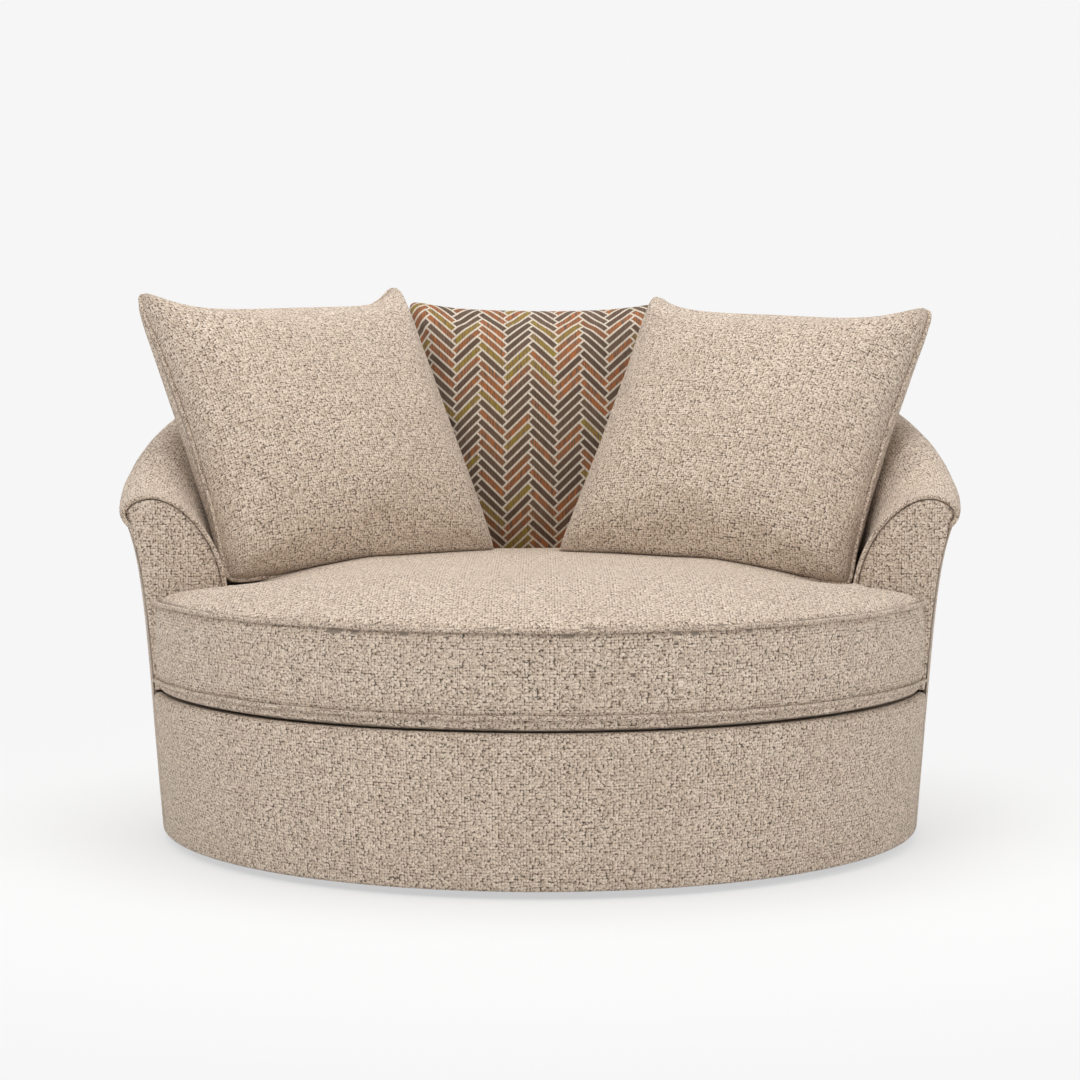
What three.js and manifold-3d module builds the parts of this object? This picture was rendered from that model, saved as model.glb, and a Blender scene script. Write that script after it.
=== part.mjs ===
// A round two-seat swivel armchair: a drum base on a hidden turntable, a wrap-around
// back whose arms end in scrolled facings, a T-shaped box seat cushion with piped seams,
// two large back pillows and a patterned scatter cushion between them.
// Millimetres, +Z up. The origin is on the floor, on the turntable's axis; the front faces -Y.
import * as THREE from "three";
import { mergeVertices } from "three/addons/utils/BufferGeometryUtils.js";
import Module from "manifold-3d";

const wasm = await Module();
wasm.setup();

// Plan of the chair
const baseRadius = 622; // drum at the floor
const armThickness = 94; // from the drum's edge in to the inside face of arms and back
const crestReach = 21; // from the drum's edge out to the highest line of the arm roll
const lipReach = 46; // from there to the widest edge of the roll
const backDepthShare = 0.9434; // the back half is a little shallower than a true circle
const facingSetback = 170; // front face of the arm facings, in front of the axis
const facingThickness = 19;
const innerRadius = baseRadius - armThickness;
const crestRadius = baseRadius + crestReach;
const lipRadius = crestRadius + lipReach;

// Heights, each from the one before
const skirtClearance = 12; // fabric drum above the floor
const deckTop = 245; // cloth deck that the seat cushion lies on
const armRise = 155; // straight inside face of the arm, above the deck
const rollRise = 161; // from where it starts to curl outwards to the arm's crest at its facing
const backRise = 169; // from there to the crest at the middle of the back
const backSweepShare = 0.7; // of the way from the facings to the back, where the crest is at its full height
const lipDrop = 31; // from the crest to the centre of the outer curl
const lipUnder = 22; // and on to the roll's underside
const springLine = deckTop + armRise;
const armHeight = springLine + rollRise;
const backHeight = armHeight + backRise;
const lipHeight = armHeight - lipDrop;
const rollUnderside = lipHeight - lipUnder;

// Fits
const gap = 0.3; // pieces that rest on or against each other
const softGap = 2.5; // loose cushion inside the upholstered walls
const railFit = 0.9; // back rail under the roll that bears on it
const overrun = 40; // cutters run past what they cut

// Upholstery
const coverThickness = 6;
const skirtCurl = 10; // how far the skirt turns under at the floor
const skirtCurlHeight = 9;
const pipingRadius = 4;
const frontTopRound = 12; // soft top edge of the drum's front

// Timber
const boardThickness = 18;
const ringBottom = 16;
const ringInset = 16; // bottom ring inside the drum's edge
const ringWidth = 136;
const seatRingStep = 30; // the seat ring's inner edge, outside the bottom ring's
const deckPadDepth = 27; // seat ring below the deck's top
const postWidth = 45;
const postInset = 16; // drum posts from the ring's edge
const uprightStep = 4; // back uprights' outer face, outside the drum's edge
const uprightDepth = 36;
const uprightHalfTurn = 2.2; // degrees
const padBackStep = 5; // back of the inside padding, in front of the uprights
const beamWidth = 120;
const swivelPlateHalf = 190;
const swivelHoleRadius = 70; // in the middle of the swivel board
const springRailHeight = 30;
const springRailWidth = 50;
const railClearance = 44.5; // from the front posts back to the front rail
const ringOuter = baseRadius - ringInset;
const ringInner = ringOuter - ringWidth;
const seatRingInner = ringInner + seatRingStep;
const seatRingTop = deckTop - deckPadDepth;
const postCentre = ringOuter - postInset - postWidth / 2;
const springRailPlace = (postCentre - postWidth) * Math.SQRT1_2 - railClearance - springRailWidth / 2;
const uprightBack = baseRadius + uprightStep;
const uprightFront = uprightBack - uprightDepth;
const padBackRadius = uprightFront - padBackStep;

// Springs
const springWire = 4;
const springSwing = 22;
const springPitch = 52;
const springEdge = 120; // outermost springs from the rear rail's ends
const springCount = 5;

// Turntable
const floorDiscRadius = 300;
const floorDiscThickness = 12;
const glideHeight = 6;
const glideRadius = 24;
const glideFoot = 20; // flat foot of a glide
const glideInset = 35; // glides' middles from the disc's edge
const ballRadius = 5;
const ballPitchRadius = 120;
const ballCount = 12;
const cageThickness = 3;
const cageHalfWidth = 9;
const raceThickness = 3;
const raceHalfWidth = 28;
const raceLipHeight = 3;
const boltRadius = 4;
const boltHeadRadius = 8;
const boltHeadHeight = 3;
const boltStep = 19; // bolt circle outside the ball track
const boltClearance = 0.4;

// Seat cushion
const seatFrontReach = 20.3; // cushion's front outside the drum's edge
const seatPipingGap = 0.5;
const seatFootRise = 23; // low seam above the deck
const seatBoxing = 125; // from seam to seam
const seatCrown = 44;
const seatWallBulge = 7;
const seatCover = 4;
const seatFoamGap = 1;
const seatCornerRound = 34;
const seatCentre = 250; // the crown's middle, in front of the axis

// Zips
const zipHalfWidth = 6;
const zipGap = 0.4;
const seatZipHalfTurn = 25; // degrees each side of the back
const zipRunShare = 2 / 3; // of the seat zip's half that its slider travels
const sliderLength = 14;
const sliderWidth = 9;
const sliderHeight = 4;
const tabLength = 22;
const tabWidth = 6;
const tabThickness = 1.6;

// Pillows are cut to the seat: their sizes and places are shares of the inside radius.
const pillowCover = 4;
const padGap = 0.8;
const fullnessShare = 0.42; // exponent of a pillow's crown: smaller is fuller
const backPillowShares = { half: 0.5114, thick: 0.4356, pinch: 0.075, zip: 0.265 };
const scatterShares = { half: 0.464, thick: 0.2462, pinch: 0.07, zip: 0.246 };
const pillowRise = 31; // bottom edge above the seat's high seam
const scatterRise = 17;
const leftPlaceShares = { x: -0.5746, y: 0.1222 };
const rightPlaceShares = { x: 0.585, y: 0.1504 };
const scatterPlaceShares = { x: 0, y: 0.7434 };
// How each stands, in shares of a right angle: turned about the upright, leaning back, tipped sideways
const leftTurnShares = [37 / 90, 31 / 90, 1.2 / 90];
const rightTurnShares = [-27 / 90, 35 / 90, -3.5 / 90];
const scatterTurnShares = [0, 15 / 90, 0];

// How finely curves are drawn
const wallSteps = 30;
const frontSteps = 22;
const ringSteps = 40;
const rollSteps = 8;
const curlSteps = 6;
const pillowSteps = 8;
const rearSteps = 26;
const foreSteps = 20;
const zipBandSteps = 12;
const discSteps = 48;
const raceSteps = 24;
const glideSteps = 16;
const boltSteps = 10;
const pipingSides = 5;
const springSides = 4;
const springBendSteps = 4;
const weld = 1e-4; // corners closer than this are one

const cloth = new THREE.MeshStandardMaterial({ color: 0xb9a48f, roughness: 0.95 });
const patternedCloth = new THREE.MeshStandardMaterial({ color: 0x5d4a3c, roughness: 0.95 });
const liningCloth = new THREE.MeshStandardMaterial({ color: 0x2a2724, roughness: 1 });
const deckCloth = new THREE.MeshStandardMaterial({ color: 0x9a8a79, roughness: 0.95 });
const foam = new THREE.MeshStandardMaterial({ color: 0xe8ddc0, roughness: 1 });
const fibre = new THREE.MeshStandardMaterial({ color: 0xf2f0ea, roughness: 1 });
const plywood = new THREE.MeshStandardMaterial({ color: 0xc79b68, roughness: 0.7 });
const hardwood = new THREE.MeshStandardMaterial({ color: 0xa9784c, roughness: 0.65 });
const springSteel = new THREE.MeshStandardMaterial({ color: 0x7d8084, roughness: 0.35, metalness: 1 });
const zincSteel = new THREE.MeshStandardMaterial({ color: 0xb6babd, roughness: 0.35, metalness: 1 });
const nylon = new THREE.MeshStandardMaterial({ color: 0x1f1f20, roughness: 0.5 });
const zipBrass = new THREE.MeshStandardMaterial({ color: 0x8a6f47, roughness: 0.4, metalness: 1 });

const chair = new THREE.Group();
const radians = THREE.MathUtils.degToRad;

function addNode(name, geometry, material, parent = chair) {
  const mesh = new THREE.Mesh(geometry, material);
  mesh.name = name;
  parent.add(mesh);
  return mesh;
}

// Booleans on closed geometries
function solidOf(geometry) {
  const bare = (geometry.index ? geometry.toNonIndexed() : geometry.clone());
  bare.deleteAttribute("normal");
  bare.deleteAttribute("uv");
  const merged = mergeVertices(bare, weld);
  return new wasm.Manifold(new wasm.Mesh({
    numProp: 3,
    vertProperties: merged.attributes.position.array,
    triVerts: new Uint32Array(merged.index.array),
  }));
}

function geometryOf(solid) {
  const mesh = solid.getMesh();
  const geometry = new THREE.BufferGeometry();
  geometry.setAttribute("position", new THREE.BufferAttribute(mesh.vertProperties, 3));
  geometry.setIndex(new THREE.BufferAttribute(mesh.triVerts, 1));
  return geometry;
}

function joined(first, ...others) {
  return geometryOf(others.reduce((sum, next) => sum.add(solidOf(next)), solidOf(first)));
}

function cut(body, ...cutters) {
  return geometryOf(cutters.reduce((rest, next) => rest.subtract(solidOf(next)), solidOf(body)));
}

function common(first, second) {
  return geometryOf(solidOf(first).intersect(solidOf(second)));
}

// A closed surface through rings of points. The ends are flat caps, or fans when a ring is one point.
function loft(rings, capEnds = true) {
  const points = [];
  const faces = [];
  const starts = rings.map((ring) => {
    const start = points.length;
    points.push(...ring);
    return start;
  });
  for (let k = 0; k + 1 < rings.length; k++) {
    const a = rings[k].length;
    const b = rings[k + 1].length;
    const count = Math.max(a, b);
    for (let i = 0; i < count; i++) {
      const j = (i + 1) % count;
      const [p, q] = [starts[k] + (i % a), starts[k] + (j % a)];
      const [r, s] = [starts[k + 1] + (i % b), starts[k + 1] + (j % b)];
      if (a > 1) faces.push(p, q, r);
      if (b > 1) faces.push(q, s, r);
    }
  }
  const geometry = new THREE.BufferGeometry();
  if (capEnds) {
    for (const [k, turn] of [[0, true], [rings.length - 1, false]]) {
      if (rings[k].length === 1) continue;
      for (const [p, q, r] of capFaces(rings[k])) {
        const [a, b, c] = [p, q, r].map((i) => starts[k] + i);
        faces.push(...(turn ? [a, c, b] : [a, b, c]));
      }
    }
  }
  geometry.setAttribute("position",
    new THREE.Float32BufferAttribute(points.flatMap((p) => [p.x, p.y, p.z]), 3));
  geometry.setIndex(faces);
  return facingOut(geometry);
}

// Triangles across a flat ring, worked out in the ring's own plane.
function capFaces(ring) {
  const normal = new THREE.Vector3();
  ring.forEach((p, i) => {
    const q = ring[(i + 1) % ring.length];
    normal.add(new THREE.Vector3().crossVectors(p, q));
  });
  normal.normalize();
  const across = new THREE.Vector3(Math.abs(normal.z) > 0.9 ? 1 : 0, 0, Math.abs(normal.z) > 0.9 ? 0 : 1);
  const u = new THREE.Vector3().crossVectors(across, normal).normalize();
  const v = new THREE.Vector3().crossVectors(normal, u);
  return THREE.ShapeUtils.triangulateShape(ring.map((p) => new THREE.Vector2(p.dot(u), p.dot(v))), []);
}

function facingOut(geometry) {
  const p = geometry.attributes.position;
  const index = geometry.index.array;
  const [a, b, c] = [0, 1, 2].map(() => new THREE.Vector3());
  let volume = 0;
  for (let i = 0; i < index.length; i += 3) {
    a.fromBufferAttribute(p, index[i]);
    b.fromBufferAttribute(p, index[i + 1]);
    c.fromBufferAttribute(p, index[i + 2]);
    volume += a.dot(b.clone().cross(c));
  }
  if (volume < 0) {
    for (let i = 0; i < index.length; i += 3) {
      [index[i + 1], index[i + 2]] = [index[i + 2], index[i + 1]];
    }
  }
  return geometry;
}

// The height of the crest at a place: level at the arm's front, sweeping up to the back.
function crestAt(y) {
  const span = (facingSetback + lipRadius * backDepthShare) * backSweepShare;
  const share = THREE.MathUtils.clamp((y + facingSetback) / span, 0, 1);
  return armHeight + (backHeight - armHeight) * share * share * (3 - 2 * share);
}

// A height in the arm's own section, carried up where the back is taller.
function lifted(z, y) {
  if (z <= deckTop) return z;
  return deckTop + (z - deckTop) * (crestAt(y) - deckTop) / (armHeight - deckTop);
}

// A point at a radius and a turn from the back (+Y) towards the right (+X).
function around(radius, turn, z, drop = 0) {
  const y = radius * Math.cos(turn) * (Math.cos(turn) > 0 ? backDepthShare : 1);
  return new THREE.Vector3(radius * Math.sin(turn), y, lifted(z, y) - drop);
}

// The turn at which a radius meets the plane of the facings.
function endTurn(radius, setback) {
  return Math.PI / 2 + Math.asin(setback / radius);
}

const wallSetback = facingSetback - facingThickness - gap; // the walls stop behind the facings
const frontSetback = facingSetback - facingThickness;

// A section carried round the back, from one arm's facing to the other.
function wall(section, steps = wallSteps, from = -1, to = 1) {
  const rings = [];
  for (let i = 0; i <= steps; i++) {
    const share = from + (to - from) * i / steps;
    rings.push(section.map(([r, z, drop]) => around(r, share * endTurn(r, wallSetback), z, drop)));
  }
  return loft(rings);
}

// A section carried round the front of the drum.
function front(section) {
  const rings = [];
  for (let i = 0; i <= frontSteps; i++) {
    const share = 2 * i / frontSteps - 1;
    rings.push(section.map(([r, z]) => around(r, Math.PI + share * (Math.PI - endTurn(r, frontSetback)), z)));
  }
  return loft(rings);
}

// The outside wall's radius: it widens slowly from the floor and flares under the roll.
function outsideRadius(z) {
  const share = Math.min(z / (lipHeight + lipDrop / 4), 1);
  const steadyShare = 0.6;
  return baseRadius + (lipRadius - baseRadius) * (steadyShare * share + (1 - steadyShare) * share ** 8);
}

const coverTop = rollUnderside - gap;

// Outside face of a fabric wall from the floor up to a height, and its inside face back down.
function fabricFaces(top, heightShares) {
  const outer = [
    [baseRadius - skirtCurl, skirtClearance],
    [baseRadius - skirtCurl / 4, skirtClearance + skirtCurlHeight / 4],
    [outsideRadius(skirtClearance + skirtCurlHeight), skirtClearance + skirtCurlHeight],
  ];
  for (const share of heightShares) {
    const z = skirtClearance + skirtCurlHeight + (top - skirtClearance - skirtCurlHeight) * share;
    outer.push([outsideRadius(z), z]);
  }
  const inner = outer.slice(2).reverse().map(([r, z]) => [r - coverThickness, z]);
  inner.push([baseRadius - skirtCurl - coverThickness / 3, skirtClearance + coverThickness / 2]);
  return { outer, inner };
}

const outsideHeightShares = [0.12, 0.3, 0.5, 0.7, 0.84, 0.93, 1];
const outsideFaces = fabricFaces(coverTop, outsideHeightShares);
addNode("outside_back_cover", wall([...outsideFaces.outer, ...outsideFaces.inner]), cloth);

// The drum's front panel, with a soft rounded top edge.
const frontTop = deckTop - gap;
const frontHeightShares = [0.25, 0.6, 1];
const frontFaces = fabricFaces(frontTop - frontTopRound, frontHeightShares);
const frontEdge = outsideRadius(frontTop - frontTopRound);
const frontSection = [
  ...frontFaces.outer,
  [frontEdge - frontTopRound / 6, frontTop - frontTopRound / 2],
  [frontEdge - coverThickness / 2, frontTop - frontTopRound / 8],
  [frontEdge - coverThickness, frontTop],
  ...frontFaces.inner,
];
addNode("front_drum_cover", front(frontSection), cloth);

// The inside face of the arm: straight, then a superellipse up to the crest, then the curl.
const rollFullnessShare = 1.8;
function insideFace() {
  const points = [[innerRadius, springLine]];
  for (let i = 1; i <= rollSteps; i++) {
    const a = i / rollSteps * Math.PI / 2;
    points.push([
      crestRadius - (crestRadius - innerRadius) * Math.cos(a) ** (2 / rollFullnessShare),
      springLine + (armHeight - springLine) * Math.sin(a) ** (2 / rollFullnessShare),
    ]);
  }
  return points;
}

function outerCurl() {
  const points = [];
  const lastTurn = -Math.asin((lipHeight - rollUnderside) / lipDrop);
  for (let i = 1; i <= curlSteps; i++) {
    const a = Math.PI / 2 + (lastTurn - Math.PI / 2) * i / curlSteps;
    points.push([
      crestRadius + (lipRadius - crestRadius) * Math.cos(a),
      lipHeight + (a > 0 ? armHeight - lipHeight : lipDrop) * Math.sin(a),
    ]);
  }
  return points;
}

const insidePad = wall([
  [innerRadius, seatRingTop + gap],
  ...insideFace(),
  ...outerCurl(),
  [uprightBack, rollUnderside],
  [uprightFront, rollUnderside],
  [padBackRadius, rollUnderside],
  [padBackRadius, seatRingTop + gap],
]);
addNode("inside_arms_and_back_pad", insidePad, cloth);

// Arm facings: a padded panel over the end of each arm, inside a flush bead of piping.
function flatPlace(r, setback) {
  return Math.sqrt(r * r - setback * setback);
}

const facingFoot = deckTop + gap;
const beadWidth = 2 * pipingRadius + gap;

// The line that the piping follows, up the inside face and over the roll: across and up.
function beadLine(inset) {
  const line = [[innerRadius, facingFoot], ...insideFace(), ...outerCurl()]
    .map(([r, z]) => new THREE.Vector2(flatPlace(r, facingSetback), z));
  return line.map((p, i) => {
    const along = line[Math.min(i + 1, line.length - 1)].clone().sub(line[Math.max(i - 1, 0)]).normalize();
    return new THREE.Vector2(p.x + along.y * inset, p.y - along.x * inset);
  });
}

const facingSideShares = [0.66, 0.33, 0];
function facingPanel(side) {
  const outline = beadLine(beadWidth);
  outline.pop();
  const [last] = outline.slice(-1);
  for (const share of facingSideShares) {
    const z = facingFoot + (last.y - facingFoot) * share;
    outline.push(new THREE.Vector2(flatPlace(outsideRadius(z), facingSetback), z));
  }
  return loft([facingSetback, frontSetback].map((setback) =>
    outline.map((p) => new THREE.Vector3(side * p.x, -setback, p.y))));
}

// A bead of cord along points, round in section; normals lie in the plane square to "up".
function bead(points, radius, up, sides = pipingSides, closed = false) {
  const rings = points.map((p, i) => {
    const before = points[closed ? (i + points.length - 1) % points.length : Math.max(i - 1, 0)];
    const after = points[closed ? (i + 1) % points.length : Math.min(i + 1, points.length - 1)];
    const along = after.clone().sub(before).normalize();
    const out = new THREE.Vector3().crossVectors(along, up).normalize();
    return Array.from({ length: sides }, (_, k) => {
      const a = 2 * Math.PI * k / sides;
      return p.clone().addScaledVector(out, radius * Math.cos(a)).addScaledVector(up, radius * Math.sin(a));
    });
  });
  if (closed) rings.push(rings[0]);
  return loft(rings, !closed);
}

function facingPiping(side) {
  const path = beadLine(pipingRadius).slice(0, -1).map((p) =>
    new THREE.Vector3(side * p.x, pipingRadius - facingSetback, p.y));
  return bead(path, pipingRadius, new THREE.Vector3(0, 1, 0));
}

for (const [name, side] of [["left", -1], ["right", 1]]) {
  addNode(name + "_arm_facing", facingPanel(side), cloth);
  addNode(name + "_facing_piping", facingPiping(side), cloth);
}

// The T-shaped plan of the seat: a wide front in front of the facings, a narrower back between the arms.
function seatPlan(frontRadius, rearRadius, setback, inset = 0) {
  const [outer, inner, step] = [frontRadius - inset, rearRadius - inset, setback + inset];
  const [outerTurn, innerTurn] = [endTurn(outer, step), endTurn(inner, step)];
  const arc = (radius, from, to, count) => Array.from({ length: count + 1 }, (_, i) =>
    around(radius, from + (to - from) * i / count, 0));
  const rear = arc(inner, -innerTurn, innerTurn, rearSteps);
  const fore = arc(outer, outerTurn, 2 * Math.PI - outerTurn, foreSteps);
  const reach = seatCornerRound - inset;
  return [
    ...rear,
    ...softCorner(rear.at(-1), fore[0], fore[1], reach),
    ...fore.slice(1, -1),
    ...softCorner(fore.at(-2), fore.at(-1), rear[0], reach),
  ];
}

// Three points in place of a sharp corner.
function softCorner(before, corner, after, reach) {
  const a = corner.clone().add(before.clone().sub(corner).setLength(reach));
  const b = corner.clone().add(after.clone().sub(corner).setLength(reach));
  const middle = a.clone().add(b).divideScalar(2).lerp(corner, 1 / 2);
  return [a, middle, b];
}

const seatFrontRadius = baseRadius + seatFrontReach;
const seatRearRadius = innerRadius - softGap - 2 * pipingRadius - seatPipingGap;
const seatSetback = facingSetback + gap + 2 * pipingRadius + seatPipingGap;
const crownCentre = new THREE.Vector3(0, -seatCentre, 0);

// A cushion body: rings of the plan, drawn in towards the crown's centre, each at its own height.
function cushionBody(inset, low, high, crown, foot, bulge) {
  const plan = (grow) => seatPlan(seatFrontRadius + grow, seatRearRadius, seatSetback, inset);
  const ring = (share, z, grow = 0) => plan(grow).map((p) =>
    crownCentre.clone().lerp(p, share).setZ(z));
  const lowerShares = [[0.9, 0], [0.965, 0.3], [1, 1]];
  const crownShares = [[1, 0], [0.965, 0.3], [0.89, 0.6], [0.72, 0.86], [0.45, 0.97]];
  return loft([
    [crownCentre.clone().setZ(foot)],
    ...lowerShares.map(([share, rise]) => ring(share, foot + (low - foot) * rise)),
    ring(1, (low + high) / 2, bulge),
    ...crownShares.map(([share, rise]) => ring(share, high + crown * rise)),
    [crownCentre.clone().setZ(high + crown)],
  ]);
}

const seatFoot = deckTop + gap;
const seatSeamLow = deckTop + seatFootRise;
const seatSeamHigh = seatSeamLow + seatBoxing;
const seatShell = cushionBody(0, seatSeamLow, seatSeamHigh, seatCrown, seatFoot, seatWallBulge);
const seatHollow = cushionBody(seatCover, seatSeamLow, seatSeamHigh, seatCrown - seatCover,
  seatFoot + seatCover, seatWallBulge);
const seatFoamInset = seatCover + seatFoamGap;
const seatFoam = cushionBody(seatFoamInset, seatSeamLow + seatFoamGap, seatSeamHigh - seatFoamGap,
  seatCrown - seatCover, seatFoot + seatFoamInset, seatWallBulge);

// A band of the cushion's rear wall, where the zip runs.
const zipHeight = (seatSeamLow + seatSeamHigh) / 2;
function rearBand(halfTurn, halfHeight) {
  const section = [
    [seatRearRadius - overrun, zipHeight - halfHeight], [seatRearRadius + overrun, zipHeight - halfHeight],
    [seatRearRadius + overrun, zipHeight + halfHeight], [seatRearRadius - overrun, zipHeight + halfHeight],
  ];
  const rings = Array.from({ length: zipBandSteps + 1 }, (_, i) => section.map(([r, z]) =>
    around(r, halfTurn * (2 * i / zipBandSteps - 1), 0).setZ(z)));
  return loft(rings);
}

const seatCoverHollow = cut(seatShell, seatHollow);
const zipTurn = radians(seatZipHalfTurn);
addNode("seat_cushion_cover", cut(seatCoverHollow, rearBand(zipTurn, zipHalfWidth)), cloth);
addNode("seat_cushion_foam", seatFoam, foam);
const tapeTurn = zipTurn - zipGap / seatRearRadius;
addNode("seat_zip_tape", common(seatCoverHollow, rearBand(tapeTurn, zipHalfWidth - zipGap)), liningCloth);

for (const [name, z] of [["low", seatSeamLow], ["high", seatSeamHigh]]) {
  const edge = seatPlan(seatFrontRadius, seatRearRadius, seatSetback, -(pipingRadius + seatPipingGap));
  addNode("seat_piping_" + name, bead(edge.map((p) => p.setZ(z)), pipingRadius,
    new THREE.Vector3(0, 0, 1), pipingSides, true), cloth);
}

// A zip's slider with its pull tab: +x along the zip, +z away from the cloth.
function zipSlider() {
  const body = new THREE.BoxGeometry(sliderLength, sliderWidth, sliderHeight);
  body.translate(0, 0, sliderHeight / 2);
  const tab = new THREE.BoxGeometry(tabLength, tabWidth, tabThickness);
  tab.translate(-sliderLength / 2 - tabLength / 2 + tabWidth / 2, 0, tabThickness / 2 + tabThickness);
  return joined(body, tab);
}

// The seat zip's slider starts at the left end of its run and turns about the rear wall's own centre.
const rearDepth = seatRearRadius * backDepthShare;
const rearArcRadius = seatRearRadius * seatRearRadius / rearDepth;
const seatZipCentre = rearDepth - rearArcRadius;
const seatSliderTurn = zipTurn * zipRunShare;
const seatSliderPivot = new THREE.Group();
seatSliderPivot.position.set(0, seatZipCentre, zipHeight);
seatSliderPivot.rotation.z = seatSliderTurn;
const seatSliderSeat = new THREE.Group();
seatSliderSeat.position.set(0, rearArcRadius + zipGap, 0);
seatSliderSeat.rotation.x = -Math.PI / 2;
seatSliderPivot.add(seatSliderSeat);
chair.add(seatSliderPivot);
addNode("seat_zip_slider", zipSlider(), zipBrass, seatSliderSeat);

// Where a grid point of a panel lies: sides drawn in between the corners, except the one it stands on.
function pillowPoint(u, v, half, thick, pinchShare, side) {
  return new THREE.Vector3(
    half * u * (1 - pinchShare * (1 - v * v) * u * u),
    half * v * (1 - (v > 0 ? pinchShare : 0) * (1 - u * u) * v * v),
    side * thick / 2 * ((1 - u * u) * (1 - v * v)) ** fullnessShare);
}

// A pillow: two crowned panels that meet in a sharp seam, with sides drawn in between the corners.
const gridShare = (i) => Math.sin(Math.PI / 2 * (2 * i / pillowSteps - 1));
const zipRowSteps = 2; // the zip runs along this line of the grid, counted from the foot
const zipEndSteps = pillowSteps / 2 + 1; // and the slider stops over this one, counted across

function pillowBody(half, thick, pinchShare) {
  const n = pillowSteps;
  const points = [];
  const faces = [];
  const at = new Map();
  const vertex = (i, j, side) => {
    const rim = i === 0 || j === 0 || i === n || j === n;
    const key = [i, j, rim ? 0 : side].join();
    if (!at.has(key)) {
      at.set(key, points.length / 3);
      const p = pillowPoint(gridShare(i), gridShare(j), half, thick, pinchShare, side);
      if (rim) p.z = 0;
      points.push(p.x, p.y, p.z);
    }
    return at.get(key);
  };
  for (const side of [1, -1]) {
    for (let i = 0; i < n; i++) {
      for (let j = 0; j < n; j++) {
        const [a, b] = [vertex(i, j, side), vertex(i + 1, j, side)];
        const [c, d] = [vertex(i + 1, j + 1, side), vertex(i, j + 1, side)];
        const flip = (i < n / 2) === (j < n / 2);
        const pair = flip ? [[a, b, c], [a, c, d]] : [[a, b, d], [b, c, d]];
        for (const [p, q, r] of pair) faces.push(...(side > 0 ? [p, q, r] : [p, r, q]));
      }
    }
  }
  const geometry = new THREE.BufferGeometry();
  geometry.setAttribute("position", new THREE.Float32BufferAttribute(points, 3));
  geometry.setIndex(faces);
  return geometry;
}

// A point of the rear panel on the zip's line.
function zipPoint(pillow, i) {
  return pillowPoint(gridShare(i), gridShare(zipRowSteps), pillow.half, pillow.thick, pillow.pinchShare, -1);
}

function zipBox(pillow, shrink) {
  const middle = zipPoint(pillow, pillowSteps / 2);
  const box = new THREE.BoxGeometry(2 * (pillow.zipHalf - shrink), 2 * (zipHalfWidth - shrink), overrun);
  box.translate(0, middle.y, middle.z);
  return box;
}

// The arc that a slider follows over the crowned panel, through its middle and its two ends.
function zipArc(pillow) {
  const [middle, end] = [zipPoint(pillow, pillowSteps / 2), zipPoint(pillow, zipEndSteps)];
  const sag = end.z - middle.z;
  const radius = (end.x * end.x + sag * sag) / (2 * sag);
  return { radius, y: middle.y, centre: middle.z + radius, turn: Math.asin(end.x / radius) };
}

const zipRide = 1.6; // slider above the arc, clear of the slope beside it

// A pillow stands on the seat and leans back, away from the front, until something stops it.
const leanReach = 100;
const leanTrials = 15;
const touchVolume = gap ** 3;
const stops = [solidOf(insidePad)];
function leanBack(stand, body, solid) {
  const back = new THREE.Vector3(0, 1, 0).applyAxisAngle(new THREE.Vector3(0, 0, 1), stand.rotation.z);
  const start = stand.position.clone();
  let [free, blocked] = [-leanReach, leanReach];
  for (let i = 0; i < leanTrials; i++) {
    const lean = (free + blocked) / 2;
    stand.position.copy(start).addScaledVector(back, lean);
    body.updateWorldMatrix(true, false);
    const placed = solid.transform(body.matrixWorld.elements);
    if (stops.some((stop) => stop.intersect(placed).volume() > touchVolume)) blocked = lean;
    else free = lean;
  }
  stand.position.copy(start).addScaledVector(back, free);
  body.updateWorldMatrix(true, false);
  stops.push(solid.transform(body.matrixWorld.elements));
}

function addPillow(name, shares, placeShares, rise, turnShares, material) {
  const [yaw, tilt, roll] = turnShares.map((share) => share * Math.PI / 2);
  const stand = new THREE.Group();
  stand.position.set(placeShares.x * innerRadius, placeShares.y * innerRadius, seatSeamHigh + rise);
  stand.rotation.set(Math.PI / 2 - tilt, 0, yaw, "ZYX");
  const [half, thick, zipHalf] = [shares.half, shares.thick, shares.zip].map((share) => share * innerRadius);
  const pillow = { half, thick, zipHalf, pinchShare: shares.pinch };
  const body = new THREE.Group();
  body.rotation.z = roll;
  body.position.y = half;
  stand.add(body);
  chair.add(stand);
  leanBack(stand, body, solidOf(pillowBody(half + gap, thick + 2 * gap, pillow.pinchShare)));
  const seatward = body.matrixWorld.clone().invert();
  const layer = (depth) => cut(pillowBody(half - depth, thick - 2 * depth, pillow.pinchShare),
    seatShell.clone().translate(0, 0, gap + depth).applyMatrix4(seatward));
  const hollow = cut(layer(0), layer(pillowCover));
  addNode(name + "_cover", cut(hollow, zipBox(pillow, 0)), material, body);
  addNode(name + "_fibre_pad", layer(pillowCover + padGap), fibre, body);
  addNode(name + "_zip_tape", common(hollow, zipBox(pillow, zipGap)), liningCloth, body);
  const arc = zipArc(pillow);
  const pivot = new THREE.Group();
  pivot.position.set(0, arc.y, arc.centre);
  pivot.rotation.y = arc.turn;
  const seat = new THREE.Group();
  seat.position.z = -arc.radius - zipRide;
  seat.rotation.set(0, Math.PI, Math.PI, "ZYX");
  pivot.add(seat);
  body.add(pivot);
  addNode(name + "_zip_slider", zipSlider(), zipBrass, seat);
}

addPillow("scatter", scatterShares, scatterPlaceShares, scatterRise, scatterTurnShares, patternedCloth);
addPillow("left_pillow", backPillowShares, leftPlaceShares, pillowRise, leftTurnShares, cloth);
addPillow("right_pillow", backPillowShares, rightPlaceShares, pillowRise, rightTurnShares, cloth);

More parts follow.
